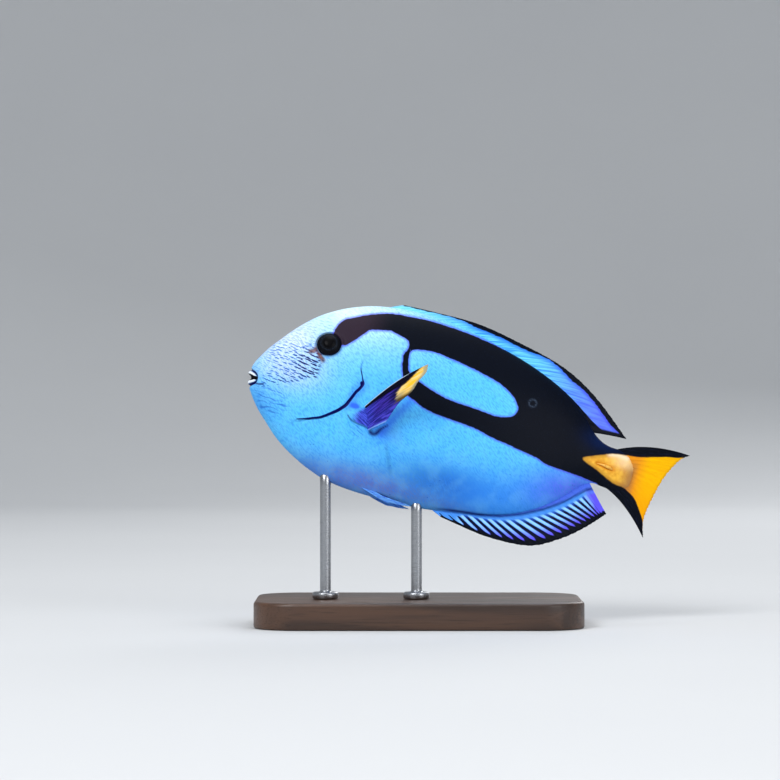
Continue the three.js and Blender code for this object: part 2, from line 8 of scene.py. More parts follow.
import bmesh
import bpy
import numpy as np
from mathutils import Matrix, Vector


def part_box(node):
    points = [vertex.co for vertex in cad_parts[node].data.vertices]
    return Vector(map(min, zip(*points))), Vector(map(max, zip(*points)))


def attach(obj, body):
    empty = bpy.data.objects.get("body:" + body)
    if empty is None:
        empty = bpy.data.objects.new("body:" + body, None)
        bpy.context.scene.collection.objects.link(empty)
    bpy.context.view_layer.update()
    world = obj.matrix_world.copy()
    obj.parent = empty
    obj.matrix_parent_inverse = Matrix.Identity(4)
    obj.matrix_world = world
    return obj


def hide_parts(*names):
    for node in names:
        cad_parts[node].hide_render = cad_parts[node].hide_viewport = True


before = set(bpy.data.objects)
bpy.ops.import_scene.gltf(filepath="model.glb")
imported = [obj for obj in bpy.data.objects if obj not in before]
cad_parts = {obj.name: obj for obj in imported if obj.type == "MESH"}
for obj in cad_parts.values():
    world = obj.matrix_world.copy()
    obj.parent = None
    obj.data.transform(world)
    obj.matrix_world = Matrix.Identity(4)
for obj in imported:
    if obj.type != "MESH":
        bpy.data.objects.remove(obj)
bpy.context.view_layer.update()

MM = 0.001

# Pose, as in the solids
PITCH = math.radians(16)  # nose up
BANK = math.radians(12)  # belly turned towards the camera
SWING_START = 90
SWING_END = 206
SWING = 28
SNOUT = np.array([-78.0, 0.0, 113.6])

# Camera
CAMERA = np.array([-13.14, -1500.0, 107.62])
VIEW_WIDTH = 358.8  # what the picture spans at the fish's middle
SENSOR = 36.0

# Cross-sections of the body, as in the solids: top point (along, up), bottom point (along, up), half
# width, and how far the sides are set back
SECTIONS = [
    [0.9, 0.5, 1.1, -1.1, 1.8, 0.2],  # back of the mouth
    [0.5, 0.9, 0.8, -1.35, 2.6, 0.9],
    [-0.1, 1.3, 0.6, -1.65, 3.3, 2.4],  # inner edge of the lips
    [-0.8, 1.9, 0.1, -2.3, 3.9, 3.6],  # front of the lips
    [-0.3, 3.0, 0.7, -3.4, 4.4, 3.9],
    [0.5, 3.5, 1.8, -3.9, 4.3, 4.1],  # groove behind the lips
    [0.0, 4.7, 1.7, -5.1, 4.9, 3.5],
    [0.7, 7.5, 3.2, -7.4, 6.0, 2.4],
    [2.5, 11.2, 5.4, -10.3, 7.1, 1.4],
    [5.4, 16.2, 9.0, -14.3, 8.2, 0.7],
    [9.2, 21.4, 13.5, -18.4, 9.2, 0.3],
    [14.0, 27.6, 18.5, -22.9, 10.2, 0],
    [20.3, 34.3, 24.3, -27.0, 11.1, 0],
    [27.0, 39.6, 30.6, -30.5, 11.9, 0],
    [36.0, 44.7, 38.3, -33.9, 12.8, 0],
    [47.3, 48.8, 47.7, -36.7, 13.6, 0],
    [60.8, 51.1, 60.8, -38.0, 14.2, 0],
    [76.5, 51.6, 76.5, -37.9, 14.1, 0],
    [92.3, 49.8, 92.3, -37.0, 13.2, 0],
    [108.0, 46.3, 108.0, -34.6, 11.6, 0],
    [123.8, 41.9, 123.8, -31.2, 9.6, 0],
    [135.0, 37.9, 135.0, -26.9, 7.9, 0],
    [146.3, 32.4, 144.9, -20.8, 6.2, 0],
    [154.0, 27.0, 153.0, -13.6, 4.9, 0],
    [159.8, 21.4, 160.0, -5.6, 4.1, 0],
    [164.7, 18.4, 165.4, -2.1, 3.5, 0],
    [169.2, 17.3, 170.0, -2.0, 2.9, 0],
    [174.5, 17.3, 175.0, -2.0, 2.4, 0],
    [179.5, 15.6, 179.8, -0.6, 1.7, 0],
    [182.8, 11.8, 182.8, 2.4, 0.8, 0],  # end of the tail stalk
]
WIDEST = 0.47
KEEL_SHARPNESS = 1.22
SHARP_START = 6
SHARP_END = 14
OUTER_START = 7
LAST = len(SECTIONS) - 1
SKIN_DEPTH = 0.1  # the skin lies this far inside the solids

# Places on the head and flank, as in the solids
GILL_LINE = [(48.4, 17.4), (50.9, 9.5), (48.4, 1.9), (43.4, -6.4), (36.5, -11.6), (29.0, -14.7)]
NAPE = (51.0, 34.0)
THROAT = (23.5, -23.0)
GILL_STEP = 0.5
GILL_STEP_WIDTH = 7
FIN_PAD = (53.0, -6.5)
FIN_PAD_RADIUS = 5.5
FIN_PAD_HEIGHT = 0.7
EYE_AT = (31.4, 23.0)
EYE_RADIUS = 6.1
EYE_FLATNESS = 0.72
EYE_SUNK = 1.9
NOSTRILS = [(20.6, 18.6, 0.55), (23.2, 20.3, 0.75)]  # along, up, radius
NOSTRIL_GROOVE = [(23.2, 20.3), (26.6, 18.4), (30.0, 17.6)]
SPINE_TIP = 164.0
SPINE_ROOT = 172.0
SPINE_UP = 6.9

# Fins, as in the solids
ROOT_DEPTH = 1.5
DORSAL = {
    "rays": 28,
    "base": (50.5, 159.0),
    "crowd": 0,  # how much closer together the last rays stand
    "sweeps": [9, 13, 17, 20, 21, 17],  # how far the rays lean back, from the first to the last
    "bow": 0.25,  # how much more upright a ray starts than it ends
    "margin": [
        (48, 49.2), (56, 52.4), (74, 53.7), (95, 54.0), (115, 51.0), (138, 46.0), (156, 37.6), (176, 23.4),
    ],
}
ANAL = {
    "rays": 22,
    "base": (95.5, 163.5),
    "crowd": 0.35,
    "sweeps": [7, 17.5, 23.5, 23.5, 19, 12.5],
    "bow": 0.1,
    "margin": [
        (95, -36.9), (108, -39.0), (126, -41.0), (145, -39.2), (158, -31.8), (168, -22.8), (177, -12.2),
    ],
}
CAUDAL = {
    "rays": 16,
    "root": ((172.5, 17.0), (172.5, -1.7)),
    "bulge": ((187, 25.8), (184.0, -5.0)),
    "edge": [(208.4, 28.1), (203.8, 23.6), (198.8, 13.5), (195.6, 1.5), (194.1, -9.4), (196.2, -17.6)],
}
PECTORAL = {
    "rays": 16,
    "root": ((54.0, -2.4), (58.6, -11.6)),
    "cup": 1.6,  # how far the blade bows outwards
    "lift": (1.3, -0.2),  # how far its first and last rays bow upwards, as a share of that
    "tips": [
        (77.5, 37.0, 21.0),
        (77.6, 36.4, 17.2),
        (75.2, 34.4, 12.4),
        (73.6, 30.6, 7.8),
        (69.6, 25.6, 2.4),
        (66.2, 20.6, -6.8),
    ],
}
PELVIC = {
    "rays": 4,
    "root": ((61.0, 3.0, -35.0), (67.0, 2.6, -35.4)),
    "cup": 0.6,
    "lift": (-0.5, -0.5),
    "tips": [(77.0, 3.2, -39.4), (83.5, 3.6, -38.8), (87.5, 3.8, -38.0), (82.0, 3.9, -37.2)],
}

# Markings, in a flat side view of the fish: back from the snout and up, in mm
BAND = [
    (32.0, 31.0), (34.5, 36.8), (39.1, 39.6), (46.0, 43.0), (55.2, 46.0), (64.4, 47.1), (73.6, 47.7),
    (82.8, 47.5), (92.0, 46.9), (101.2, 45.8), (110.4, 44.2), (119.6, 41.9), (128.8, 38.9),
    (138.0, 35.2), (147.2, 30.4), (156.4, 24.6), (161.0, 22.1), (165.6, 20.5), (171.1, 20.2),
    (190.0, 34.0), (230.0, 34.0), (230.0, -40.0), (180.0, -12.0),
    (168.4, -3.7), (165.6, -2.8), (156.4, -1.8), (142.6, -0.9), (138.0, 0.7), (133.4, 1.4),
    (124.2, 2.8), (115.0, 4.1), (105.8, 6.0), (96.6, 6.7), (87.4, 7.4), (80.5, 8.7), (75.9, 10.8),
    (73.6, 11.5), (70.8, 13.3), (68.8, 17.0), (67.6, 21.2), (66.5, 23.9), (65.9, 27.2), (65.6, 29.8),
    (66.7, 32.2), (67.0, 34.2), (65.9, 36.2), (64.4, 36.9), (62.1, 37.5), (57.5, 38.4), (55.2, 38.2),
    (50.6, 37.0), (47.4, 36.1), (46.0, 34.5), (43.7, 31.7), (41.4, 29.0), (39.1, 26.7), (37.3, 25.8),
    (34.0, 25.0),
]
ISLAND = [
    (68.1, 31.0), (69.4, 32.9), (73.6, 34.0), (78.2, 34.5), (82.8, 34.3), (92.0, 33.1), (101.2, 31.5),
    (110.4, 29.4), (115.0, 27.6), (119.6, 24.8), (121.9, 22.3), (123.1, 20.2), (122.8, 17.7),
    (121.4, 16.1), (119.6, 15.0), (113.6, 13.9), (105.8, 14.5), (92.0, 15.2), (85.1, 16.6),
    (80.5, 17.9), (75.0, 19.8), (71.3, 21.6), (69.5, 23.5), (68.8, 26.2), (68.2, 28.4),
]
WEDGE = [
    (157.8, 6.4), (161.0, 8.3), (165.6, 10.1), (170.2, 12.0), (174.8, 12.9), (184.0, 14.3),
    (193.2, 17.0), (202.4, 19.3), (220.0, 24.0), (220.0, -24.0), (196.5, -20.0), (192.3, -13.8),
    (188.6, -8.3), (186.3, -5.5), (184.0, -3.7), (179.4, -1.4), (174.8, -0.9), (170.2, 0.9),
    (165.6, 3.0), (161.0, 4.6),
]
SLIT = [
    (48.5, 18.2), (50.6, 13.8), (51.5, 11.7), (50.6, 9.2), (49.2, 6.9), (48.3, 4.6), (47.4, 2.3),
    (46.5, 0.0), (44.6, -2.3), (42.8, -4.1), (40.5, -6.0), (38.2, -7.8), (35.9, -9.2), (33.1, -10.3),
    (30.8, -11.3), (28.5, -12.0), (26.2, -12.7),
]
SLIT_KNOB = (50.8, 11.5)
SLIT_KNOB_RADIUS = 0.9
DORSAL_EDGE = [
    (46.0, 50.3), (59.8, 51.1), (69.0, 51.5), (86.0, 52.0), (94.3, 50.6), (103.5, 49.7), (112.7, 48.1),
    (119.6, 46.9), (128.8, 46.0), (133.4, 44.6), (138.0, 42.3), (142.6, 39.6), (147.2, 37.7),
    (151.8, 35.2), (156.4, 32.2), (161.0, 28.5), (165.6, 24.8), (170.2, 22.3), (180.0, 16.0),
]
SCAR = (128.8, 24.4)
SCAR_RADIUS = 1.7
EYE_SEEN = (32.0, 24.4)  # middle of the eye
ANAL_BASE = [
    (94.0, -35.0), (98.9, -34.5), (110.4, -32.7), (119.6, -31.5), (128.8, -29.4), (138.0, -25.8),
    (147.2, -20.7), (151.8, -17.5), (156.4, -13.8), (161.0, -9.2), (163.3, -6.9), (167.9, -4.6),
]
MOUTH_CORNER = [(3.6, -1.9), (5.2, -1.8), (7.2, -1.2)]
# ROOT_FOLD: a dark line painted as shade in the fold at the pectoral fin's root
ROOT_FOLD = [(48.6, -4.4), (50.0, -5.7), (51.7, -6.5), (54.2, -7.0), (56.6, -7.2), (59.4, -7.6)]
# painted shadow under the pectoral fin's rear edge
UNDER_FIN_SHADOW = [
    (60.6, -9.0), (61.8, -9.5), (63.0, -9.2), (63.9, -8.1), (64.8, -6.6), (66.2, -5.0), (67.4, -3.9),
]
UNDER_SHADE = [(65.5, -8.0), (69.2, 0.0), (73.1, 7.0), (74.7, 10.5)]
ROOT_SPOT = (50.8, 0.6)
# a soft painted shade in a crease below the pectoral fin
CREASE = [(69.0, -12.4), (71.0, -16.5), (72.9, -20.8), (74.6, -24.4)]
BRONZE = [(24.2, 19.2), (26.4, 20.6), (27.6, 20.2), (28.8, 18.3), (30.6, 16.8)]
# a painted highlight along the top of the tail stalk
STALK_HIGHLIGHT = [(169.4, 11.6), (173.5, 12.2), (177.5, 12.0)]
# orange painted shade in the groove that holds the tail spine
SPINE_GROOVE = [(164.8, 6.2), (168.0, 5.8), (172.9, 5.0)]

# Stand
BASE_CORNER = 20.0
BASE_BEVEL = 1.6
BASE_FOOT = [(0.8, 0.0), (0.25, 0.25), (0.0, 0.8)]  # inset and height of the lower edge
ROD_RADIUS = 2.5
COLLAR_HEIGHT = 3.0
COLLAR_ROUND = 1.0
COLLAR_CHAMFER = 0.3
FILLET = 0.8
ROD_CHAMFER = 0.4
ROD_SIDES = 48

SIDES = (("right", 1), ("left", -1))


def rgb(red, green, blue):
    """A screen colour, 0 to 255, as the linear values that shaders take."""
    levels = np.array([red, green, blue]) / 255
    linear = np.where(levels <= 0.04045, levels / 12.92, ((levels + 0.055) / 1.055) ** 2.4)
    return (*(float(x) for x in linear), 1.0)


# Curves and surfaces


def through(rows, t):
    """Points of a Catmull-Rom curve through the rows of a table, with t counted in rows."""
    rows = np.asarray(rows, float)
    t = np.asarray(t, float)
    last = len(rows) - 1
    i = np.clip(np.floor(t).astype(int), 0, last - 1)
    f = (t - i)[..., None]
    a, b, c, d = (rows[np.clip(i + k, 0, last)] for k in (-1, 0, 1, 2))
    bend = (2 * a - 5 * b + 4 * c - d) * f**2 + (3 * b - a - 3 * c + d) * f**3
    return 0.5 * (2 * b + (c - a) * f + bend)


def solve(function, value, low, high):
    """Where a rising function reaches each value."""
    low = np.full(np.shape(value), float(low))
    high = np.full(np.shape(value), float(high))
    for _ in range(40):
        middle = (low + high) / 2
        under = function(middle) < value
        low = np.where(under, middle, low)
        high = np.where(under, high, middle)
    return (low + high) / 2


def smooth(x):
    """0 below 0 and 1 above 1, eased in between."""
    c = np.clip(x, 0, 1)
    return c * c * (3 - 2 * c)


def bell(x):
    """1 at 0, falling away to both sides."""
    return np.exp(-(x**2))


def skin_point(t, angle, grow=0.0):
    """The skin's (along, across, up): t counts sections, and angle runs from the belly to the back."""
    top_s, top_z, low_s, low_z, width, back = np.moveaxis(through(SECTIONS, t), -1, 0)
    middle_s = low_s + WIDEST * (top_s - low_s)
    middle_z = low_z + WIDEST * (top_z - low_z)
    upper = angle > 0
    edge_s = np.where(upper, top_s, low_s)
    edge_z = np.where(upper, top_z + grow, low_z - grow)
    rise = np.abs(np.sin(angle))
    side = np.maximum(np.cos(angle), 0)
    sharp = 1 + (KEEL_SHARPNESS - 1) * smooth((t - SHARP_START) / (SHARP_END - SHARP_START))
    along = middle_s + (edge_s - middle_s) * rise + back * side**2
    up = middle_z + (edge_z - middle_z) * rise
    return np.stack([along, (width + grow) * side**sharp, up], -1)


def skin_angle(t, up):
    """The angle at which section t reaches a height."""
    _, top_z, _, low_z, _, _ = np.moveaxis(through(SECTIONS, t), -1, 0)
    middle_z = low_z + WIDEST * (top_z - low_z)
    reach = np.where(up > middle_z, top_z - middle_z, middle_z - low_z)
    return np.arcsin(np.clip((up - middle_z) / reach, -1, 1))


def flank(along, up):
    """Half width of the body at places on the flank."""
    along, up = np.broadcast_arrays(np.asarray(along, float), np.asarray(up, float))
    t = solve(lambda x: skin_point(x, skin_angle(x, up))[..., 0], along, OUTER_START, LAST)
    return skin_point(t, skin_angle(t, up))[..., 1]


def flank_normal(along, up):
    step = 0.5
    by_slope = (flank(along + step, up) - flank(along - step, up)) / (2 * step)
    by_rise = (flank(along, up + step) - flank(along, up - step)) / (2 * step)
    normal = np.array([-float(by_slope), 1.0, -float(by_rise)])
    return normal / np.linalg.norm(normal)


def body_edge(along, column):
    """Height of the back (column 0) or belly (column 2) at distances along the body."""
    t = solve(lambda x: through(SECTIONS, x)[..., column], along, OUTER_START, LAST)
    return through(SECTIONS, t)[..., column + 1]


def placed(points):
    """Points (along, across, up) of the straight fish, in mm, moved into its pose, in metres."""
    along, across, up = np.moveaxis(np.asarray(points, float), -1, 0)
    reach = np.clip(along - SWING_START, 0, None) / (SWING_END - SWING_START)
    heading = np.arctan(3 * SWING * reach**2 / (SWING_END - SWING_START))
    x = along - across * np.sin(heading)
    y = SWING * reach**3 + across * np.cos(heading)
    y, z = y * math.cos(BANK) + up * math.sin(BANK), up * math.cos(BANK) - y * math.sin(BANK)
    x, z = x * math.cos(PITCH) + z * math.sin(PITCH), z * math.cos(PITCH) - x * math.sin(PITCH)
    return (np.stack([x, y, z], -1) + SNOUT) * MM


def side_view(points):
    """Where points of the fish lie in the flat side view of its left side, in mm. Both sides match."""
    left = points * (1, 0, 1) - np.abs(points * (0, 1, 0))
    offset = placed(left) / MM - CAMERA
    nearer = -CAMERA[1] / offset[..., 1]
    dx = offset[..., 0] * nearer + CAMERA[0] - SNOUT[0]
    dz = offset[..., 2] * nearer + CAMERA[2] - SNOUT[2]
    u = dx * math.cos(PITCH) - dz * math.sin(PITCH)
    v = dx * math.sin(PITCH) + dz * math.cos(PITCH)
    return u, v


def fine_line(points, closed, steps=5):
    """More points on a smooth curve through a line's points."""
    rows = np.array([*points, *points[:3]] if closed else points, float)
    first, last = (1, len(points) + 1) if closed else (0, len(points) - 1)
    return through(rows, np.linspace(first, last, (last - first) * steps + 1))


def line_distance(line, u, v):
    """Distance from each place to a line, and whether it is inside where the line is closed."""
    u, v = np.ravel(u), np.ravel(v)
    nearest = np.full(u.shape, 1e9)
    inside = np.zeros(u.shape, bool)
    for (au, av), (bu, bv) in zip(line[:-1], line[1:]):
        du, dv = bu - au, bv - av
        share = np.clip(((u - au) * du + (v - av) * dv) / (du * du + dv * dv), 0, 1)
        nearest = np.minimum(nearest, (u - au - share * du) ** 2 + (v - av - share * dv) ** 2)
        if av != bv:
            crosses = (av > v) != (bv > v)
            inside ^= crosses & (u < au + (v - av) * du / dv)
    return np.sqrt(nearest), inside


def outline_distance(points, u, v):
    """Signed distance to a closed smooth outline, below zero inside it."""
    distance, inside = line_distance(fine_line(points, True), u, v)
    return np.where(inside, -distance, distance).reshape(np.shape(u))


def open_distance(points, u, v):
    """Distance to a smooth line that stays open."""
    return line_distance(fine_line(points, False), u, v)[0]


def from_place(place, u, v):
    return np.hypot(u - place[0], v - place[1])


def soft_spot(u, v, middle, reach):
    """1 in the middle of an oval, falling away over its reach."""
    return bell(np.hypot((u - middle[0]) / reach[0], (v - middle[1]) / reach[1]))


# Materials


class Nodes:
    """Adds nodes to a new material and links them. Each call returns the socket that comes out."""

    def __init__(self, name, finish):
        self.material = bpy.data.materials.new(name)
        self.material.use_nodes = True
        self.tree = self.material.node_tree
        self.shader = self.tree.nodes["Principled BSDF"]
        for socket, value in finish.items():
            self.shader.inputs[socket].default_value = value

    def put(self, kind, settings=None, **inputs):
        node = self.tree.nodes.new(kind)
        for setting, value in (settings or {}).items():
            setattr(node, setting, value)
        for socket, value in inputs.items():
            self.feed(node.inputs[socket.replace("_", " ")], value)
        return node

    def feed(self, socket, value):
        if isinstance(value, bpy.types.NodeSocket):
            self.tree.links.new(value, socket)
        else:
            socket.default_value = value

    def math(self, operation, a, b=0.0):
        node = self.put("ShaderNodeMath", {"operation": operation})
        self.feed(node.inputs[0], a)
        self.feed(node.inputs[1], b)
        return node.outputs[0]

    def vector(self, operation, a, b=(0, 0, 0)):
        node = self.put("ShaderNodeVectorMath", {"operation": operation})
        self.feed(node.inputs[0], a)
        self.feed(node.inputs[1], b)
        return node

    def wave(self, noise, depth):
        """Noise as a push of up to half the depth to either side of 0."""
        return self.math("MULTIPLY", self.math("SUBTRACT", noise, 0.5), depth)

    def read(self, attribute, output):
        return self.put("ShaderNodeAttribute", {"attribute_name": attribute}).outputs[output]

    def number(self, attribute):
        return self.read(attribute, "Fac")

    def colour(self, attribute):
        return self.read(attribute, "Color")

    def place(self, attribute, turn=0.0, stretch=(1, 1, 1)):
        """A texture place in mm, turned and then stretched."""
        vector = self.read(attribute, "Vector")
        turned = self.put("ShaderNodeMapping", {}, Vector=vector, Rotation=(0, 0, math.radians(turn)))
        return self.put("ShaderNodeMapping", {}, Vector=turned.outputs[0], Scale=stretch).outputs[0]

    def object_place(self, stretch=(1, 1, 1)):
        vector = self.put("ShaderNodeTexCoord").outputs["Object"]
        return self.put("ShaderNodeMapping", {}, Vector=vector, Scale=stretch).outputs[0]

    def noise(self, vector, scale, detail=2.0, distortion=0.0):
        settings = {"Scale": scale, "Detail": detail, "Distortion": distortion}
        return self.put("ShaderNodeTexNoise", {}, Vector=vector, **settings).outputs["Fac"]

    def strokes(self, across, along, detail=2.0, distortion=0.0):
        """Noise drawn out along the rays of a fin."""
        return self.noise(self.place("rayed", 0, (across, along, 1)), 1.0, detail, distortion)

    def cells(self, vector, scale):
        return self.put("ShaderNodeTexVoronoi", {}, Vector=vector, Scale=scale).outputs["Distance"]

    def dashes(self, vector, half_length, half_height, size):
        """How far each place is into one dash of its cell: over 1 outside, 0 in its middle."""
        cell = self.put("ShaderNodeTexVoronoi", {}, Vector=vector, Scale=1.0, Randomness=0.7)
        offset = self.vector("SUBTRACT", vector, cell.outputs["Position"])
        shape = self.vector("MULTIPLY", offset.outputs[0], (1 / half_length, 1 / half_height, 0))
        length = self.vector("LENGTH", shape.outputs[0])
        return self.math("DIVIDE", length.outputs["Value"], size)

    def warped(self, vector, scale, depth):
        """A texture place pushed about by soft noise."""
        push = self.put("ShaderNodeTexNoise", {}, Vector=vector, Scale=scale, Detail=2.0)
        middle = self.vector("SUBTRACT", push.outputs["Color"], (0.5, 0.5, 0.5))
        scaled = self.vector("MULTIPLY", middle.outputs[0], (depth, depth, depth))
        return self.vector("ADD", vector, scaled.outputs[0]).outputs[0]

    def span(self, value, low, high, to_low=0.0, to_high=1.0):
        """value's place between low and high, eased at both ends."""
        node = self.put("ShaderNodeMapRange", {"interpolation_type": "SMOOTHSTEP"}, Value=value)
        for socket, limit in zip(node.inputs[1:5], (low, high, to_low, to_high)):
            self.feed(socket, limit)
        return node.outputs[0]

    def mix(self, share, a, b, blend="MIX"):
        node = self.put("ShaderNodeMix", {"data_type": "RGBA", "blend_type": blend})
        colours = [s for s in node.inputs if s.type == "RGBA"]
        self.feed(node.inputs[0], share)
        self.feed(colours[0], a)
        self.feed(colours[1], b)
        return next(s for s in node.outputs if s.type == "RGBA")

    def tint(self, colour, attribute, red, green, blue):
        """Lays a screen colour over another where an attribute says."""
        return self.mix(self.number(attribute), colour, rgb(red, green, blue))

    def shades(self, value, low, high, first, second):
        """Two screen colours, mixed by how far a value is from low to high."""
        return self.mix(self.span(value, low, high), rgb(*first), rgb(*second))

    def bump(self, height, depth_mm, strength=1.0):
        node = self.put("ShaderNodeBump", {}, Height=height, Distance=depth_mm * MM, Strength=strength)
        if self.shader.inputs["Normal"].is_linked:
            self.feed(node.inputs["Normal"], self.shader.inputs["Normal"].links[0].from_socket)
        self.feed(self.shader.inputs["Normal"], node.outputs[0])

    def finish_colour(self, colour):
        self.feed(self.shader.inputs["Base Color"], colour)
        return self.material


WET = {"Roughness": 0.5, "IOR": 1.4, "Specular IOR Level": 0.08, "Coat Weight": 0.02, "Coat Roughness": 0.25}
NIGHT = rgb(3, 8, 21)
YELLOW = rgb(255, 190, 0)
PURPLE = rgb(78, 70, 225)


def skin_material():
    """Blue ground with painted highlight and shade, dashes, grain, folds, the black band, the yellow wedge
    and the gill slit.
    """
    n = Nodes("tang_skin", WET)
    flat = n.place("flat")
    grain = n.noise(n.place("flat", 39, (0.5, 1.7, 1)), 1.0, 3.0)
    colour = skin_ground(n, flat, grain)
    colour = head_marks(n, flat, colour)

    waver = n.wave(n.noise(flat, 0.5, 4.0), 0.7)
    from_black = n.math("ADD", n.number("black"), waver)
    colour = n.mix(n.span(from_black, 1.4, 0.0, 0, 0.75), colour, PURPLE)
    colour = n.mix(n.span(from_black, 0.15, -0.15), colour, night_colour(n, flat))

    from_yellow = n.math("ADD", n.number("yellow"), n.math("MULTIPLY", waver, 0.6))
    colour = n.mix(n.span(from_yellow, 0.4, -0.4), colour, stalk_colour(n, flat))
    colour = n.mix(n.span(n.number("slit"), 0.25, -0.1), colour, rgb(6, 8, 92))
    n.bump(grain, 0.05)
    n.bump(n.cells(n.place("flat", 39, (1.2, 2.2, 1)), 1.0), 0.03)
    return n.finish_colour(colour)


def skin_ground(n, flat, grain):
    """The blue of the flank with its painted highlight and shade, its fine slanting grain and a few dark
    specks.
    """
    grained = n.math("MULTIPLY", n.span(grain, 0.45, 0.62, 0, 0.5), n.number("grained"))
    # the ground colour read here holds a painted highlight on the head and painted shade low on the flank
    colour = n.mix(grained, n.colour("ground"), rgb(46, 128, 228))
    colour = n.mix(n.span(n.noise(flat, 0.12, 3.0), 0.4, 0.7, 0, 0.12), colour, rgb(140, 226, 255))
    streaks = n.noise(n.place("flat", 28, (0.25, 2.2, 1)), 1.0, 2.0, 0.6)
    web = n.shades(streaks, 0.42, 0.58, (72, 88, 218), (34, 48, 150))
    colour = n.mix(n.number("web"), colour, web)
    specks = n.span(n.cells(n.place("flat", 0, (0.24, 0.24, 1)), 1.0), 0.1, 0.05, 0, 0.5)
    colour = n.mix(specks, colour, rgb(24, 84, 190))
    # painted shade: the skin's folds made darker, on top of their relief
    colour = n.mix(n.span(n.number("folds"), 0.05, 0.7, 0, 0.7), colour, rgb(36, 100, 200))
    colour = n.tint(colour, "shade", 46, 100, 238)
    colour = n.mix(n.number("lips"), colour, n.colour("ground"))
    # dark lines, with painted shade in the folds and a painted shadow under the pectoral fin
    return n.tint(colour, "ink_and_painted_shade", 10, 14, 92)


def head_marks(n, flat, colour):
    """Rows of short wavy dashes on the cheek, darkest near the eye, and the bronze patch by the eye."""
    dash_place = n.warped(n.place("flat", 9, (1 / 3.5, 1 / 1.75, 1)), 0.9, 0.75)
    dash = n.dashes(dash_place, 0.5, 0.19, n.number("dash_size"))
    share = n.math("MULTIPLY", n.span(dash, 1.0, 0.55), n.number("dashes"))
    dash_colour = n.mix(n.number("navy"), rgb(32, 94, 176), rgb(6, 14, 88))
    colour = n.mix(share, colour, dash_colour)
    bronze = n.shades(n.noise(flat, 0.8, 2.0), 0.35, 0.65, (48, 30, 58), (122, 84, 72))
    return n.mix(n.number("bronze"), colour, bronze)


def night_colour(n, flat):
    """Black with a navy tint, brownish by the eye, with faint specks, a painted navy sheen on the upper tail
    stalk and the worn ring of a scar.
    """
    night = n.tint(NIGHT, "brown", 44, 33, 46)
    speck = n.span(n.noise(flat, 1.3, 5.0), 0.58, 0.85, 0, 0.22)
    night = n.mix(speck, night, rgb(34, 58, 98))
    # painted reflection: a navy sheen on the black of the upper tail stalk
    night = n.mix(n.math("MULTIPLY", n.number("sheen"), 0.5), night, rgb(10, 38, 96))
    worn = n.span(n.noise(flat, 1.6, 3.0), 0.35, 0.6, 0.04, 0.3)
    return n.mix(n.math("MULTIPLY", n.number("scar"), worn), night, rgb(100, 120, 150))


def stalk_colour(n, flat):
    """The dull gold of the tail stalk: brown edges, a painted highlight along its top, orange painted shade
    in the spine's groove and a brown hind end.
    """
    mottle = n.noise(flat, 0.4, 3.0)
    gold = n.shades(mottle, 0.35, 0.7, (248, 190, 66), (230, 162, 50))
    gold = n.mix(n.span(n.number("yellow"), -2.2, -0.2, 0, 0.6), gold, rgb(168, 116, 40))
    # orange painted shade in the spine's groove
    gold = n.tint(gold, "groove", 210, 122, 16)
    gold = n.tint(gold, "hind", 164, 114, 76)
    # painted highlight along the stalk's top
    return n.tint(gold, "painted_highlight", 255, 232, 196)


def fin_material(name, colour_of):
    n = Nodes(name, {**WET, "Roughness": 0.45})
    colour = colour_of(n)
    n.bump(n.strokes(3.0, 0.5, 3.0), 0.04)
    return n.finish_colour(colour)


def dorsal_colour(n):
    """A bright blue stripe with fine strokes along the rays, turning purple to the rear, then black."""
    stroke = n.strokes(2.6, 0.05, 3.0)
    blue = n.shades(stroke, 0.4, 0.64, (110, 212, 255), (62, 156, 248))
    blue = n.tint(blue, "purple", 94, 92, 240)
    edge = n.math("ADD", n.number("margin"), n.wave(stroke, 1.4))
    rim = n.mix(n.number("purple"), rgb(44, 116, 238), PURPLE)
    blue = n.mix(n.span(edge, 2.2, 0.0, 0, 0.85), blue, rim)
    blue = n.tint(blue, "pale", 134, 226, 255)
    blue = n.mix(n.span(edge, 0.2, -0.2), blue, NIGHT)
    return n.mix(n.span(n.number("black"), 0.2, -0.2), blue, NIGHT)


def anal_colour(n):
    """Light streaks that start in a blue sheath and taper between dark gaps to a black margin."""
    streak = n.math("ADD", n.number("streak"), n.wave(n.strokes(2.0, 0.3), 0.12))
    core = n.shades(streak, 0.0, 0.32, (82, 134, 250), (150, 214, 255))
    lit = n.tint(core, "purple", 96, 86, 240)
    lit = n.tint(lit, "front", 72, 146, 240)
    dark = n.mix(n.number("deep"), rgb(34, 84, 186), rgb(5, 10, 40))
    colour = n.mix(n.span(streak, -0.05, 0.09), dark, lit)
    colour = n.tint(colour, "sheath", 72, 146, 240)
    colour = n.tint(colour, "above", 74, 112, 232)
    colour = n.tint(colour, "line", 10, 42, 122)
    return n.mix(n.span(n.number("margin"), 0.25, -0.25), colour, NIGHT)


def tail_colour(n):
    """Bright yellow inside a black upper and lower edge."""
    stroke = n.strokes(1.8, 0.2, 2.0)
    yellow = n.mix(n.span(stroke, 0.35, 0.7, 0, 0.35), YELLOW, rgb(250, 170, 0))
    yellow = n.tint(yellow, "low", 250, 170, 0)
    yellow = n.tint(yellow, "root_shade", 232, 138, 30)
    yellow = n.tint(yellow, "stub", 176, 118, 62)
    waver = n.wave(stroke, 0.6)
    night = n.mix(n.span(stroke, 0.5, 0.75, 0, 0.4), NIGHT, rgb(24, 30, 60))
    return n.mix(n.span(n.math("ADD", n.number("yellow"), waver), 0.25, -0.25), night, yellow)


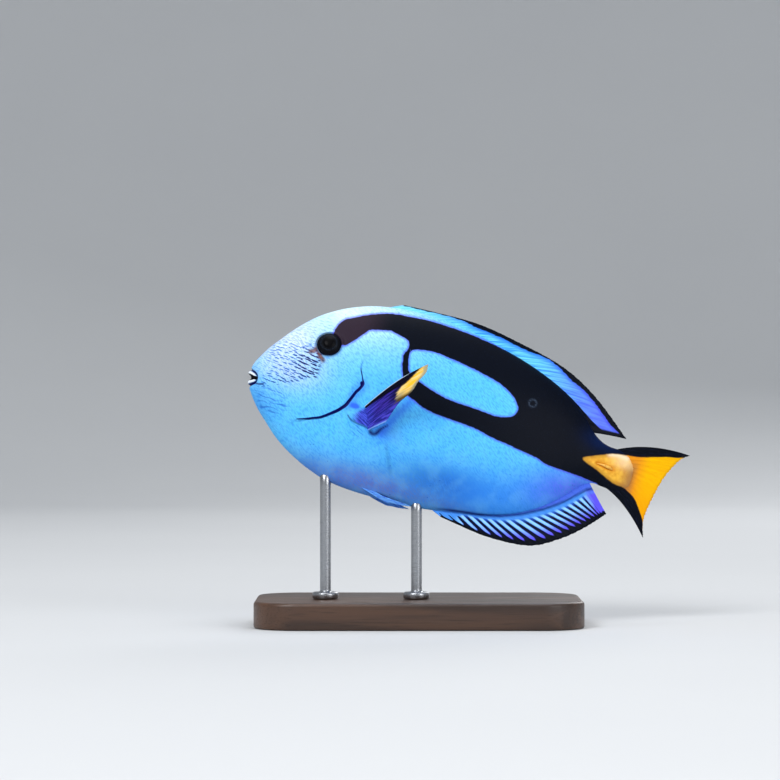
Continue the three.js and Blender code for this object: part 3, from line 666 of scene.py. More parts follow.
def pectoral_colour(n):
    """Black leading edge with a painted highlight along it, an indigo web with streaks and a painted
    highlight on its rear edge, and a yellow outer part.
    """
    stroke = n.strokes(2.2, 0.09, 2.0, 0.3)
    web = n.shades(stroke, 0.38, 0.6, (72, 54, 182), (24, 22, 96))
    web = n.tint(web, "dusk", 16, 13, 54)
    web = n.mix(n.number("inner"), web, n.shades(stroke, 0.38, 0.6, (80, 92, 228), (44, 52, 172)))
    # painted highlight on the rear edge
    web = n.tint(web, "trailing_highlight", 128, 180, 252)
    gold = n.shades(stroke, 0.42, 0.62, (255, 196, 44), (242, 214, 140))
    gold = n.tint(gold, "ashen", 150, 152, 132)
    gold = n.tint(gold, "olive", 62, 48, 20)
    web = n.mix(n.number("tip"), web, gold)
    web = n.tint(web, "leading", 6, 5, 26)
    # painted highlight along the leading edge
    return n.tint(web, "rim", 214, 236, 255)


def pelvic_colour(n):
    stroke = n.strokes(2.0, 0.3, 2.0)
    blue = n.shades(stroke, 0.4, 0.65, (98, 160, 232), (62, 108, 208))
    # painted shadow: the last rays along the fin's upper edge made dark
    return n.tint(blue, "line", 12, 18, 84)


def eye_material():
    """Nearly black, with faint rings, a deep pupil and a dark rim."""
    finish = {"Roughness": 0.5, "Specular IOR Level": 0.05, "Coat Weight": 0.03, "Coat Roughness": 0.15}
    n = Nodes("tang_eye", finish)
    radial = n.number("radial")
    mottle = n.noise(n.place("round"), 3.0, 4.0)
    iris = n.shades(mottle, 0.4, 0.7, (5, 6, 10), (14, 17, 24))
    ring = n.math("MULTIPLY", n.span(radial, 0.52, 0.6), n.span(radial, 0.7, 0.62))
    iris = n.mix(n.math("MULTIPLY", ring, n.span(mottle, 0.45, 0.7)), iris, rgb(40, 52, 70))
    iris = n.mix(n.span(radial, 0.46, 0.4), iris, rgb(2, 2, 5))
    return n.finish_colour(n.mix(n.span(radial, 0.84, 0.9), iris, rgb(6, 8, 30)))


def bone_material():
    n = Nodes("spine_bone", {"Roughness": 0.4, "Coat Weight": 0.2})
    mottle = n.noise(n.object_place(), 900.0, 3.0)
    n.bump(mottle, 0.04)
    return n.finish_colour(n.shades(mottle, 0.35, 0.7, (246, 190, 72), (220, 150, 48)))


def walnut_material():
    """Oiled walnut: long grain with darker rings and fine pores."""
    n = Nodes("base_walnut", {"Roughness": 0.45, "Coat Weight": 0.15, "Coat Roughness": 0.3})
    rings = n.noise(n.object_place((6, 70, 70)), 1.0, 4.0, 1.2)
    pores = n.noise(n.object_place((60, 1600, 1600)), 1.0, 2.0)
    colour = n.shades(rings, 0.35, 0.65, (84, 56, 38), (48, 30, 20))
    colour = n.mix(n.span(pores, 0.55, 0.75, 0, 0.6), colour, rgb(30, 18, 12))
    n.bump(pores, 0.05, 0.6)
    n.feed(n.shader.inputs["Roughness"], n.span(pores, 0.4, 0.7, 0.4, 0.6))
    return n.finish_colour(colour)


def steel_material():
    """Satin steel, brushed round the rod."""
    n = Nodes("rod_steel", {"Metallic": 1.0, "Roughness": 0.3})
    brushed = n.noise(n.object_place((300, 300, 9000)), 1.0, 2.0)
    n.bump(brushed, 0.01)
    n.feed(n.shader.inputs["Roughness"], n.span(brushed, 0.3, 0.7, 0.24, 0.38))
    return n.finish_colour(n.shades(brushed, 0.3, 0.7, (176, 178, 182), (150, 153, 158)))


def studio_material():
    n = Nodes("studio_paper", {"Roughness": 0.9})
    mottle = n.noise(n.object_place(), 3.0, 2.0)
    return n.finish_colour(n.mix(mottle, rgb(200, 202, 205), rgb(206, 208, 210)))


# Meshes


def store(mesh, name, values):
    """Keeps one number, vector or colour per point on a mesh, for its material."""
    values = np.asarray(values, float)
    kinds = {1: ("FLOAT", "value"), 3: ("FLOAT_VECTOR", "vector"), 4: ("FLOAT_COLOR", "color")}
    kind, field = kinds[1 if values.ndim == 1 else values.shape[-1]]
    mesh.attributes.new(name, kind, "POINT").data.foreach_set(field, values.astype(np.float32).ravel())


def new_mesh(name, points, faces, material):
    mesh = bpy.data.meshes.new(name)
    mesh.from_pydata(np.asarray(points).tolist(), [], [tuple(map(int, face)) for face in faces])
    mesh.shade_smooth()
    mesh.materials.append(material)
    return mesh


def new_object(name, data):
    """Puts a mesh, light or camera into the scene."""
    item = bpy.data.objects.new(name, data)
    bpy.context.scene.collection.objects.link(item)
    return item


def ring_faces(rings, sides):
    """Faces between equal rings of points that are numbered ring by ring."""
    grid = np.arange(rings * sides).reshape(rings, sides)
    ahead = np.roll(grid, -1, 1)
    return np.stack([grid[:-1], ahead[:-1], ahead[1:], grid[1:]], -1).reshape(-1, 4).tolist()


def lofted(rings, sides):
    """Faces of a stack of equal rings of points, closed at both ends."""
    first = range(sides)
    last = range((rings - 1) * sides, rings * sides)
    return [*ring_faces(rings, sides), first[::-1], last]


def turned(profile, sides, centre=(0, 0)):
    """Points of a profile (radius, height) turned round an upright axis, ring by ring."""
    radius, height = np.array(profile, float).T[..., None]
    turns = np.linspace(0, 2 * math.pi, sides, endpoint=False)
    x = centre[0] + radius * np.cos(turns)
    y = centre[1] + radius * np.sin(turns)
    return np.stack([x, y, height + 0 * x], -1).reshape(-1, 3)


def new_piece(name, points, faces, material, replaced, values):
    """A smooth piece that rides on the body and stands for solids. points are in metres."""
    mesh = new_mesh(name, points, faces, material)
    turn_outward(mesh)
    for key, numbers in values.items():
        store(mesh, key, numbers)
    piece = new_object(name, mesh)
    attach(piece, "root")
    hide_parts(*replaced)
    return piece


def turn_outward(mesh):
    shell = bmesh.new()
    shell.from_mesh(mesh)
    bmesh.ops.recalc_face_normals(shell, faces=shell.faces)
    shell.to_mesh(mesh)
    shell.free()


# Skin

# From section, to section, and how many rings
RING_STEPS = [(0, 6, 40), (6, 10, 24), (10, 15.5, 56), (15.5, 21, 72), (21, 25, 32), (25, 29, 28)]
SKIN_COLUMNS = 86


def parameter_sheet():
    """The right half of the skin as a grid of (section, angle), split finer where there is detail."""
    stretches = [np.linspace(start, end, steps, endpoint=False) for start, end, steps in RING_STEPS]
    sections = np.concatenate([*stretches, [LAST]])
    angles = np.linspace(-math.pi / 2, math.pi / 2, SKIN_COLUMNS + 1)
    sheet = bmesh.new()
    rows = [[sheet.verts.new((t, angle, 0)) for angle in angles] for t in sections]
    for front, rear in zip(rows[:-1], rows[1:]):
        for k in range(SKIN_COLUMNS):
            sheet.faces.new((front[k], front[k + 1], rear[k + 1], rear[k]))
    split_finer(sheet, lambda s, z, t: (t > 5) & (s < 58) & (z < 36))
    split_finer(sheet, near_detail)
    return sheet


def near_detail(s, z, t):
    """Where the gill slit, the fin's root, the scar, the eye's rim and the nostrils need a finer mesh."""
    eye = from_place(EYE_AT, s, z)
    near = (open_distance(GILL_LINE, s, z) < 1.6) | ((eye > 4.4) & (eye < 7.6))
    near |= (s > 46) & (s < 68) & (z > -17) & (z < -1)
    near |= from_place(SCAR, s, z) < 2.5 * SCAR_RADIUS
    for along, up, _ in NOSTRILS:
        near |= from_place((along, up), s, z) < 2.2
    return near & (t > 5)


def split_finer(sheet, wanted):
    """Splits the faces whose middle lies where wanted(along, up, section) is true."""
    sheet.faces.ensure_lookup_table()
    middles = np.array([face.calc_center_median() for face in sheet.faces])
    points = skin_point(middles[:, 0], middles[:, 1])
    chosen = wanted(points[:, 0], points[:, 2], middles[:, 0])
    edges = {edge for index in np.flatnonzero(chosen) for edge in sheet.faces[index].edges}
    bmesh.ops.subdivide_edges(sheet, edges=list(edges), cuts=1, use_grid_fill=True)


def gill_sides(s, z):
    """Signed distance to the line that parts head and trunk, below zero on the head."""
    line = [(NAPE[0] + 1.5, 80), NAPE, *GILL_LINE, THROAT, (THROAT[0] - 3, -80)]
    parting = through(np.array(line, float), np.linspace(0, len(line) - 1, 80))
    loop = np.array([(-80, 80), *parting, (-80, -80), (-80, 80)], float)
    distance, inside = line_distance(loop, s, z)
    return np.where(inside, -distance, distance)


def skin_relief(points, t):
    """How far the skin moves sideways and along its normal, and how deep its folds are."""
    s, z = points[:, 0], points[:, 2]
    from_slit = open_distance(GILL_LINE, s, z)
    side = gill_sides(s, z)
    step = GILL_STEP * bell(from_slit / GILL_STEP_WIDTH) * -np.tanh(side / 0.35)
    pad = FIN_PAD_HEIGHT * bell(from_place(FIN_PAD, s, z) / FIN_PAD_RADIUS)
    across = step + pad * smooth(side / 2)
    normal = -0.5 * bell((side - 0.3) / 0.4) * bell(from_slit / 0.9)
    for along, up, radius in NOSTRILS:
        out = from_place((along, up), s, z)
        normal = normal - 1.3 * bell((out / radius) ** 2) + 0.2 * bell((out - 1.6 * radius) / 0.4)
    groove, _ = line_distance(np.array(NOSTRIL_GROOVE), s, z)
    normal = normal - 0.22 * bell(groove / 0.5)
    spine_along = np.clip(s, SPINE_TIP + 0.6, SPINE_ROOT)
    spine = np.hypot(s - spine_along, z - SPINE_UP)
    normal = normal - 0.55 * bell(spine / 1.0) + 0.12 * bell((spine - 1.7) / 0.5)
    folds = (throat_folds(s, z) + breast_folds(*side_view(points))) * smooth((points[:, 1] - 1.5) / 3)
    normal = normal - 0.22 * folds
    outer = t > 5
    return np.where(outer, across, 0), np.where(outer, normal, 0), np.where(outer, folds, 0)


def wavy_folds(s, z, middle, reach, slope, spacing, wobble):
    """Soft folds in an oval patch: slope is how steeply they run down, spacing the gap between them."""
    ds, dz = s - middle[0], z - middle[1]
    run = ds * math.cos(slope) - dz * math.sin(slope)
    climb = ds * math.sin(slope) + dz * math.cos(slope)
    waves = np.sin(run / 2.7 + climb * 0.9) + 0.5 * np.sin(run / 1.1 - climb)
    phase = climb / spacing + wobble * waves
    patch = smooth(1.4 - np.hypot(run / reach[0], climb / reach[1]))
    breaks = 0.5 + 0.5 * np.sin(run / 3.1 + np.floor(phase) * 2.4)
    return patch * (0.35 + 0.65 * breaks) * np.clip(np.sin(2 * math.pi * phase), 0, 1) ** 2


def throat_folds(s, z):
    folds = wavy_folds(s, z, (12.0, -10.0), (11.0, 9.0), math.radians(4), 1.5, 0.35)
    return folds * smooth((-1.8 - z) / 2)


def breast_folds(u, v):
    return wavy_folds(u, v, (54.4, -9.9), (5.6, 2.6), math.radians(24), 1.15, 0.12)


def grid_normals(mesh):
    normals = np.empty(len(mesh.vertices) * 3)
    mesh.vertex_normals.foreach_get("vector", normals)
    return normals.reshape(-1, 3)


def eye_frame():
    """Middle of the eye on the skin and the skin's normal there, on the right side."""
    surface = np.array([EYE_AT[0], float(flank(*EYE_AT)), EYE_AT[1]])
    return surface, flank_normal(*EYE_AT)


def eye_socket(points):
    """How far the skin round the eye moves along the eye's axis: a raised rim and a deep cup."""
    surface, normal = eye_frame()
    offset = points - surface
    height = offset @ normal
    out = np.linalg.norm(offset - height[:, None] * normal, axis=1)
    rim = 0.45 * bell((out - 6.2) / 0.55) - 0.12 * bell((out - 7.3) / 0.5)
    cup = -3.2 * smooth((5.75 - out) / 0.9)
    return np.where(np.abs(height) < 6, rim + cup, 0), out


def ground_colour_with_painted_light(u, v):
    """Colour of the skin under the markings, as broad soft patches laid one over another: the fish's own
    blues, a painted highlight on the forehead and the front of the head, and painted shade on the chin, low
    on the flank and under the pectoral fin.
    """
    patches = [
        # middle (u, v), reach (u, v), screen colour, strength
        ((60, 0), (90, 70), (84, 190, 255), 1.0),
        # painted highlight: the forehead and the front of the head made pale
        ((30, 46), (36, 17), (222, 250, 255), 1.0),
        ((12, 22), (18, 17), (214, 230, 255), 1.0),
        ((16, 9), (15, 8), (186, 208, 250), 0.7),
        # painted shade under the jaw
        ((6, -12), (9, 10), (70, 150, 235), 0.6),
        # painted shade: the lower flank and belly made darker and greyer
        ((50, -34), (36, 9), (84, 106, 190), 0.85),
        ((72, -31), (22, 6), (106, 108, 186), 0.7),
        ((103, -23), (29, 10), (26, 80, 174), 0.9),
        ((106, -32), (24, 4.5), (78, 98, 178), 0.7),
        # the fish's own blues and purples
        ((125, -24), (26, 13), (50, 138, 250), 0.7),
        ((146, -14), (15, 10), (62, 108, 245), 0.75),
        ((157, -8), (14, 9), (86, 92, 236), 0.85),
        # painted shade under the pectoral fin
        ((66, -8), (9, 5), (60, 126, 240), 0.55),
    ]
    colour = np.tile(np.array(rgb(96, 204, 255)[:3]), (len(u), 1))
    for middle, reach, screen, strength in patches:
        colour = blend(colour, strength * soft_spot(u, v, middle, reach), screen)
    return colour


def lip_colour(colour, t, angle):
    """White lips that taper to the corners of a mouth whose inside is painted near black as shade, with a
    navy line behind them.
    """
    lip = smooth((np.abs(np.sin(angle)) - 0.12) / 0.4)
    white = lip * smooth((t - 2.6) / 0.25) * smooth((3.1 + 0.9 * lip - t) / 0.25)
    colour = blend(colour, white, (236, 245, 255))
    colour = blend(colour, np.clip(2 * bell((t - 4.65) / 0.65), 0, 1), (5, 10, 84))
    # painted shade: the inside of the mouth made near black
    return blend(colour, smooth((4.6 - 1.7 * lip - t) / 0.35), (3, 3, 10))


def skin_values(points, t, angle, folds, eye_out):
    """What the skin's material reads at each point of the right half."""
    u, v = side_view(points)
    # a painted highlight spot on the tail stalk
    highlight_spot = 0.5 * soft_spot(u, v, (177, 9.5), (5, 2.6))
    return {
        "black": np.maximum(outline_distance(BAND, u, v), -outline_distance(ISLAND, u, v)),
        "yellow": outline_distance(WEDGE, u, v),
        "slit": slit_distance(u, v),
        **face_marks(u, v, t, angle),
        "brown": smooth((58 - u) / 16),
        # where the painted navy sheen lies on the black of the tail stalk
        "sheen": soft_spot(u, v, (166, 17), (9, 5)),
        "scar": bell((from_place(SCAR, u, v) - SCAR_RADIUS) / 0.35),
        "grained": 1 - 0.7 * soft_spot(u, v, (26, 40), (24, 15)),
        "folds": folds,
        **root_marks(u, v),
        # orange painted shade in the spine's groove
        "groove": 0.8 * line_share(SPINE_GROOVE, u, v, 1.1),
        # painted highlight along the top of the tail stalk
        "painted_highlight": np.clip(0.75 * line_share(STALK_HIGHLIGHT, u, v, 1.2) + highlight_spot, 0, 1),
        "lips": smooth((5.7 - t) / 0.5),
        "hind": 0.8 * smooth((u - 175) / 7) * smooth((11 - v) / 5),
        # the ground colour holds a painted highlight on the head and painted shade low on the flank
        "ground": ground_lips_and_painted_light(u, v, t, angle, eye_out),
    }


def slit_distance(u, v):
    """Signed distance to the gill slit's dark line, which thins at both ends and has a knob near its top."""
    heights = [-12.7, -11, -4, 8, 11.5, 13, 18]
    half_widths = [0.15, 0.45, 0.65, 0.6, 0.45, 0.25, 0.15]
    line = open_distance(SLIT, u, v) - np.interp(v, heights, half_widths)
    return np.minimum(line, from_place(SLIT_KNOB, u, v) - SLIT_KNOB_RADIUS)


def face_marks(u, v, t, angle):
    """Where the cheek's dashes lie, how dark and big they are, and the bronze patch by the eye."""
    from_eye = from_place(EYE_SEEN, u, v)
    lower_limit = 8.3 - 0.48 * (30.6 - u)
    region = smooth((31.5 - u) / 2.5) * smooth((u - 4) / 4) * smooth((v - lower_limit) / 1.2 + 0.5)
    region *= smooth((from_eye - 5.6) / 0.5) * smooth((t - 5.8) / 0.6) * smooth((np.cos(angle) - 0.1) / 0.3)
    cheek = smooth(1.7 - np.hypot((u - 27) / 7, (v - 13.5) / 6))
    lowest = 0.55 * bell((v - lower_limit - 2) / 2.2) * smooth((u - 9) / 6)
    navy = np.maximum(cheek, lowest)
    bronze = np.clip(1.2 * line_share(BRONZE, u, v, 1.1), 0, 0.9)
    return {
        "dashes": region * (0.3 + 0.7 * smooth((22 + 0.1 * u - v) / 6)),
        "navy": navy,
        "dash_size": 0.95 + 0.6 * navy,
        "bronze": bronze * smooth((from_eye - 6.0) / 0.4),
    }


def ground_lips_and_painted_light(u, v, t, angle, eye_out):
    """The ground colour with its painted highlight and painted shade, the lips, the eye's dark rim and the
    pale crescent before it.
    """
    colour = lip_colour(ground_colour_with_painted_light(u, v), t, angle)
    colour = blend(colour, bell((eye_out - 6.0) / 0.5) * 0.85, (8, 10, 36))
    crescent = bell((eye_out - 6.9) / 0.35) * smooth((30.5 - u) / 2) * smooth((22.5 - v) / 2)
    colour = blend(colour, crescent * 0.8, (196, 176, 226))
    return np.concatenate([colour, np.ones((len(u), 1))], 1)


def root_marks(u, v):
    """Painted shade in the folds and under the pectoral fin, other shades round its root, and the lines at
    the mouth and the anal fin.
    """
    # painted shade in the fold at the fin's root
    fold = 0.8 * line_share(ROOT_FOLD, u, v, 0.4)
    # painted shadow under the fin's rear edge
    under_fin_shadow = line_share(UNDER_FIN_SHADOW, u, v, 0.95 - 0.6 * smooth((u - 63) / 4))
    mouth = 0.9 * line_share(MOUTH_CORNER, u, v, 0.4)
    anal_line = 0.9 * line_share(ANAL_BASE, u, v, 0.6) * smooth((u - 94) / 14)
    # painted shade in a crease
    crease = 0.2 * line_share(CREASE, u, v, 0.9)
    behind_slit = bell((open_distance(SLIT, u, v) - 1.2) / 2.2)
    behind_slit *= smooth((u - 44) / 4) * smooth((v + 6) / 6) * smooth((16 - v) / 6)
    spot = soft_spot(u, v, ROOT_SPOT, (2.1, 1.3))
    under = 0.65 * line_share(UNDER_SHADE, u, v, 2.2)
    fold_up = np.interp(u, *np.array(ROOT_FOLD).T)
    web = smooth((v - fold_up) / 0.6) * smooth((1.6 - v - 0.9 * (54 - u)) / 3) * smooth((u - 48.5) / 6)
    web *= smooth((60.5 - u) / 1.5)
    return {
        "ink_and_painted_shade": np.clip(fold + under_fin_shadow + mouth + anal_line + crease, 0, 1),
        "shade": np.clip(0.45 * behind_slit + 1.4 * spot + under, 0, 1),
        "web": web,
    }


def line_share(line, u, v, width):
    """1 on a painted line, falling away over its width."""
    return bell(open_distance(line, u, v) / width)


def blend(colours, share, screen):
    """Lays a screen colour over linear colours."""
    return colours + share[:, None] * (np.array(rgb(*screen)[:3]) - colours)


def flat_places(points, t, angle):
    """Texture places on the unrolled flank: along the fish, and round it from its middle height."""
    sections = np.linspace(0, LAST, 4 * LAST + 1)
    angles = np.linspace(-math.pi / 2, math.pi / 2, 121)
    table = skin_point(sections[:, None] + 0 * angles, angles + 0 * sections[:, None])
    gaps = np.linalg.norm(np.diff(table, axis=1), axis=2)
    lengths = np.concatenate([np.zeros((len(sections), 1)), np.cumsum(gaps, 1)], 1)
    lengths += (table[:, 60, 2] - lengths[:, 60])[:, None]
    row, row_share = table_place(t / LAST, len(sections))
    column, column_share = table_place(angle / math.pi + 0.5, len(angles))
    low = lengths[row, column] * (1 - column_share) + lengths[row, column + 1] * column_share
    high = lengths[row + 1, column] * (1 - column_share) + lengths[row + 1, column + 1] * column_share
    return np.stack([points[:, 0], low + (high - low) * row_share, 0 * t], 1)


def table_place(share, count):
    """The entry of a table before each place, and how far on the place is."""
    place = share * (count - 1)
    entry = np.clip(np.floor(place).astype(int), 0, count - 2)
    return entry, place - entry


def build_skin():
    sheet = parameter_sheet()
    half_mesh = bpy.data.meshes.new("skin_half")
    sheet.to_mesh(half_mesh)
    sheet.free()
    count = len(half_mesh.vertices)
    places = np.empty(count * 3)
    half_mesh.vertices.foreach_get("co", places)
    t, angle, _ = places.reshape(-1, 3).T
    # bmesh keeps 32-bit places, so the two edges are set to the exact quarter turn
    on_edge = np.abs(np.abs(angle) - math.pi / 2) < 1e-5
    angle = np.where(on_edge, np.sign(angle) * math.pi / 2, angle)

    base = skin_point(t, angle, -SKIN_DEPTH)
    across, inward, folds = skin_relief(base, t)
    middle = smooth(np.cos(angle) / 0.12)
    points = base + np.stack([0 * across, across * middle, 0 * across], 1)
    socket, eye_out = eye_socket(points)
    points = points + socket[:, None] * eye_frame()[1]
    half_mesh.vertices.foreach_set("co", points.ravel())
    half_mesh.update()
    normals = grid_normals(half_mesh)
    outward = np.sign(np.sum(normals[:, 1]))
    points = points + normals * outward * (inward * middle)[:, None]
    points[:, 1] = np.where(on_edge, 0, np.maximum(points[:, 1], 0))

    faces = [tuple(face.vertices) for face in half_mesh.polygons]
    values = skin_values(base, t, angle, folds, eye_out)
    values["flat"] = flat_places(base, t, angle)
    return mirror_skin(points, faces, values, on_edge, t, angle)


def mirror_skin(points, faces, values, on_edge, t, angle):
    """Joins the half skin and its mirror image along the back and belly, and closes both ends."""
    count = len(points)
    twin = np.arange(count) + count
    twin[on_edge] = np.flatnonzero(on_edge)
    keep = np.concatenate([np.ones(count, bool), ~on_edge])
    index = np.cumsum(keep) - 1
    left = [tuple(index[twin[v]] for v in reversed(face)) for face in faces]
    everything = np.concatenate([points, points * (1, -1, 1)])[keep]
    both = [tuple(index[v] for v in face) for face in faces] + left
    full = {key: np.concatenate([value, value])[keep] for key, value in values.items()}
    for end in (0, LAST):
        ring = np.flatnonzero(np.abs(t - end) < 1e-4)
        ring = ring[np.argsort(angle[ring])]
        loop = [int(index[v]) for v in ring] + [int(index[twin[v]]) for v in ring[::-1] if not on_edge[v]]
        both.append(tuple(loop if end else loop[::-1]))
    return everything, both, full


# Fins

COLUMNS_PER_RAY = 12
FIN_ROWS = 26
# Half thickness of the web, of a ray's root and of its tip
STOUT = (0.16, 0.48, 0.24)
FINE = (0.14, 0.42, 0.2)


def edge_fin(fin, column):
    """Curve of a fin on the back (column 0) or belly (column 2)."""
    inward = -ROOT_DEPTH if column == 0 else ROOT_DEPTH
    sweeps = np.array(fin["sweeps"])[:, None]

    def curve(f, v):
        share = f + fin["crowd"] * f * (1 - f)
        base = fin["base"][0] + (fin["base"][1] - fin["base"][0]) * share
        sweep = through(sweeps, (len(sweeps) - 1) * f)[..., 0]
        t = solve(lambda x: through(fin["margin"], x)[..., 0], base + sweep, 0, len(fin["margin"]) - 1)
        tip_up = through(fin["margin"], t)[..., 1]
        base_up = body_edge(base, column) + inward
        lean = v - fin["bow"] * v * (1 - v)
        return np.stack([base + sweep * lean, 0 * f, base_up + (tip_up - base_up) * v], -1)

    return curve


def between(ends, f):
    a, b = np.array(ends[0], float), np.array(ends[1], float)
    return a + (b - a) * f[..., None]


def tail_curve(f, v):
    root = between(CAUDAL["root"], f)
    bulge = between(CAUDAL["bulge"], f)
    tip = through(CAUDAL["edge"], (len(CAUDAL["edge"]) - 1) * f)
    share = v[..., None]
    first = root + (bulge - root) * share
    point = first + (bulge + (tip - bulge) * share - first) * share
    return np.stack([point[..., 0], 0 * f, point[..., 1]], -1)


def paired_fin(fin, root):
    """Curve of a paired fin on the right side."""

    def curve(f, v):
        start = root(f)
        tip = through(fin["tips"], (len(fin["tips"]) - 1) * f)
        bow = fin["cup"] * np.sin(math.pi * v)
        lift = fin["lift"][0] + (fin["lift"][1] - fin["lift"][0]) * f
        return start + (tip - start) * v[..., None] + np.stack([0 * bow, bow, bow * lift], -1)

    return curve


def pectoral_root(f):
    place = between(PECTORAL["root"], f)
    along, up = place[..., 0], place[..., 1]
    return np.stack([along, flank(along, up) - ROOT_DEPTH, up], -1)


def pelvic_root(f):
    return between(PELVIC["root"], f)


def ridge_height(phase, v, split):
    """1 on a ray and 0 between rays. Rays fork into two by split of their spacing towards the margin."""
    off = phase - np.round(phase)
    fork = split * smooth((v - 0.4) / 0.5)
    width = 0.17 - 0.05 * smooth((v - 0.4) / 0.5)
    return np.maximum(bell((off - fork) / width), bell((off + fork) / width))


def fin_sheet(fin, curve, side, thickness, split=0.16, notch=0.012):
    """Both faces of a fin as one closed mesh, and the numbers that its material reads."""
    membrane, ray_root, ray_tip = thickness
    f_line = np.linspace(0, 1, (fin["rays"] - 1) * COLUMNS_PER_RAY + 1)
    f, v = np.meshgrid(f_line, np.linspace(0, 1, FIN_ROWS), indexing="ij")
    phase = f * (fin["rays"] - 1)
    ridge = ridge_height(phase, v, split)
    tip_ridge = ridge_height(phase, 1 + 0 * v, split)
    middle = curve(f, v * (1 - notch * (1 - tip_ridge)))
    by_f = np.gradient(middle, axis=0)
    by_v = np.gradient(middle, axis=1)
    normal = np.cross(by_f, by_v)
    normal /= np.linalg.norm(normal, axis=-1, keepdims=True)
    half = membrane + (ray_root + (ray_tip - ray_root) * v - membrane) * ridge
    half = half * (1 - 0.5 * smooth((v - 0.9) / 0.1))
    flip = np.array([1, side, 1])
    faces_out = [(middle + normal * half[..., None]) * flip, (middle - normal * half[..., None]) * flip]
    points = np.concatenate([face.reshape(-1, 3) for face in faces_out])
    columns, rows = f.shape
    faces = sheet_faces(columns, rows)
    values = {
        "rayed": np.stack([phase, v * 30, 0 * v], -1).reshape(-1, 3),
        "ray": phase.ravel(),
        "v": v.ravel(),
        "f": f.ravel(),
        "middle": (middle * flip).reshape(-1, 3),
    }
    return points, faces, {key: np.concatenate([value, value]) for key, value in values.items()}


def sheet_faces(columns, rows):
    """Faces of a thin sheet: two grids of points and the walls that join them round the edge."""
    grid = np.arange(columns * rows).reshape(columns, rows)
    top = np.stack([grid[:-1, :-1], grid[1:, :-1], grid[1:, 1:], grid[:-1, 1:]], -1).reshape(-1, 4)
    under = top[:, ::-1] + columns * rows
    rim = np.concatenate([grid[:, 0], grid[-1, 1:], grid[-2::-1, -1], grid[0, -2:0:-1]])
    ahead = np.roll(rim, -1)
    walls = np.stack([ahead, rim, rim + columns * rows, ahead + columns * rows], -1)
    return np.concatenate([top, under, walls])


def build_fin(kind, ending, fin, curve, side, thickness, material, values_of, **extra):
    """One fin in place of its solid. The ending tells the two fins of a pair apart."""
    points, faces, known = fin_sheet(fin, curve, side, thickness, **extra)
    values = {"rayed": known["rayed"], **values_of(known)}
    new_piece(f"fin_{kind}{ending}", placed(points), faces, material, [f"{kind}_fin{ending}"], values)


def dorsal_values(known):
    u, v = side_view(known["middle"])
    t = solve(lambda x: through(DORSAL_EDGE, x)[..., 0], u, 0, len(DORSAL_EDGE) - 1)
    line_up = through(DORSAL_EDGE, t)[..., 1]
    return {
        "margin": line_up - v,
        "purple": smooth((u - 118) / 45) * 0.8,
        "pale": smooth((98 - u) / 36) * 0.85,
        "black": np.minimum(outline_distance(BAND, u, v), (1 - known["f"]) * 40 - 0.8),
    }


def anal_values(known):
    """Streaks on the rays, by how far each place lies between the fin's base line and its margin."""
    u, v = side_view(known["middle"])
    at_margin = known["v"] > 0.999
    margin = np.stack([u[at_margin], v[at_margin]], 1)
    from_margin, _ = line_distance(margin[np.argsort(known["f"][at_margin])][::8], u, v)
    from_base = np.interp(u, *np.array(ANAL_BASE).T) - v
    share = np.clip(from_base / np.maximum(from_base + from_margin, 0.1), 0, 1)
    off = 2 * np.abs(known["ray"] - np.round(known["ray"]))
    rear = smooth((known["f"] - 0.86) / 0.1)
    front = smooth((113 - u) / 5)
    width = 0.68 - 0.25 * share - 0.3 * smooth((share - 0.8) / 0.07) + 0.3 * front
    return {
        "streak": width - off * (1 - 0.6 * rear),
        "front": front,
        "deep": smooth((share - 0.2) / 0.18) * (1 - 0.6 * rear),
        "purple": np.clip(smooth((share - 0.45) / 0.4) * smooth((u - 108) / 30) + rear, 0, 1),
        "sheath": smooth((0.24 + 0.3 * front - share) / 0.07) * (1 - 0.6 * rear),
        "line": bell((from_base - 0.3) / 0.75) * smooth((u - 94) / 14) * 0.95,
        "above": smooth((0.3 - from_base) / 0.5),
        "margin": (0.87 - share) * 9 - 0.4 * off,
    }


def tail_values(known):
    u, v = side_view(known["middle"])
    return {
        "yellow": outline_distance(WEDGE, u, v),
        "root_shade": smooth((189 - u) / 7) * 0.8,
        "stub": smooth((184.5 - u) / 3) * smooth((13 - v) / 5) * 0.8,
        "low": smooth((6 - v) / 16),
    }


def pectoral_values(known):
    """f runs from the leading ray to the last, and v from the root to the margin."""
    f, v = known["f"], known["v"]
    black_to = np.interp(v, [0, 0.66, 0.94], [0.13, 0.27, 0.0])
    ragged = 0.014 * np.sin(known["ray"] * 2.1) + 0.01 * np.sin(known["ray"] * 5.3)
    gold_from = 0.6 + 0.4 * np.clip(f - 0.45, 0, 1) + ragged
    streak = 0.7 * smooth((f - 0.4) / 0.1) * smooth((0.85 - v) / 0.15)
    return {
        "leading": smooth((black_to - f) / 0.05),
        # painted highlight along the front of the leading edge
        "rim": smooth((0.02 - f) / 0.01) * smooth((0.75 - v) / 0.1),
        "dusk": 0.8 * smooth((v - 0.4) / 0.2) * smooth((0.8 - f) / 0.3),
        "tip": smooth((v - gold_from) / 0.03) * smooth((0.74 - f) / 0.05),
        "ashen": np.clip(streak + smooth((v - 0.9) / 0.07), 0, 0.85),
        "olive": 0.9 * smooth((f - 0.5) / 0.12),
        "inner": np.clip(smooth((0.3 - v) / 0.3) + 0.35 * smooth((f - 0.45) / 0.5), 0, 1),
        # painted highlight on the last ray, where the rear edge catches the light
        "trailing_highlight": 0.7 * smooth((f - 0.95) / 0.03),
    }


def pelvic_values(known):
    # the last rays, along the upper edge, darkened as painted shadow
    return {"line": smooth((known["f"] - 0.72) / 0.12)}


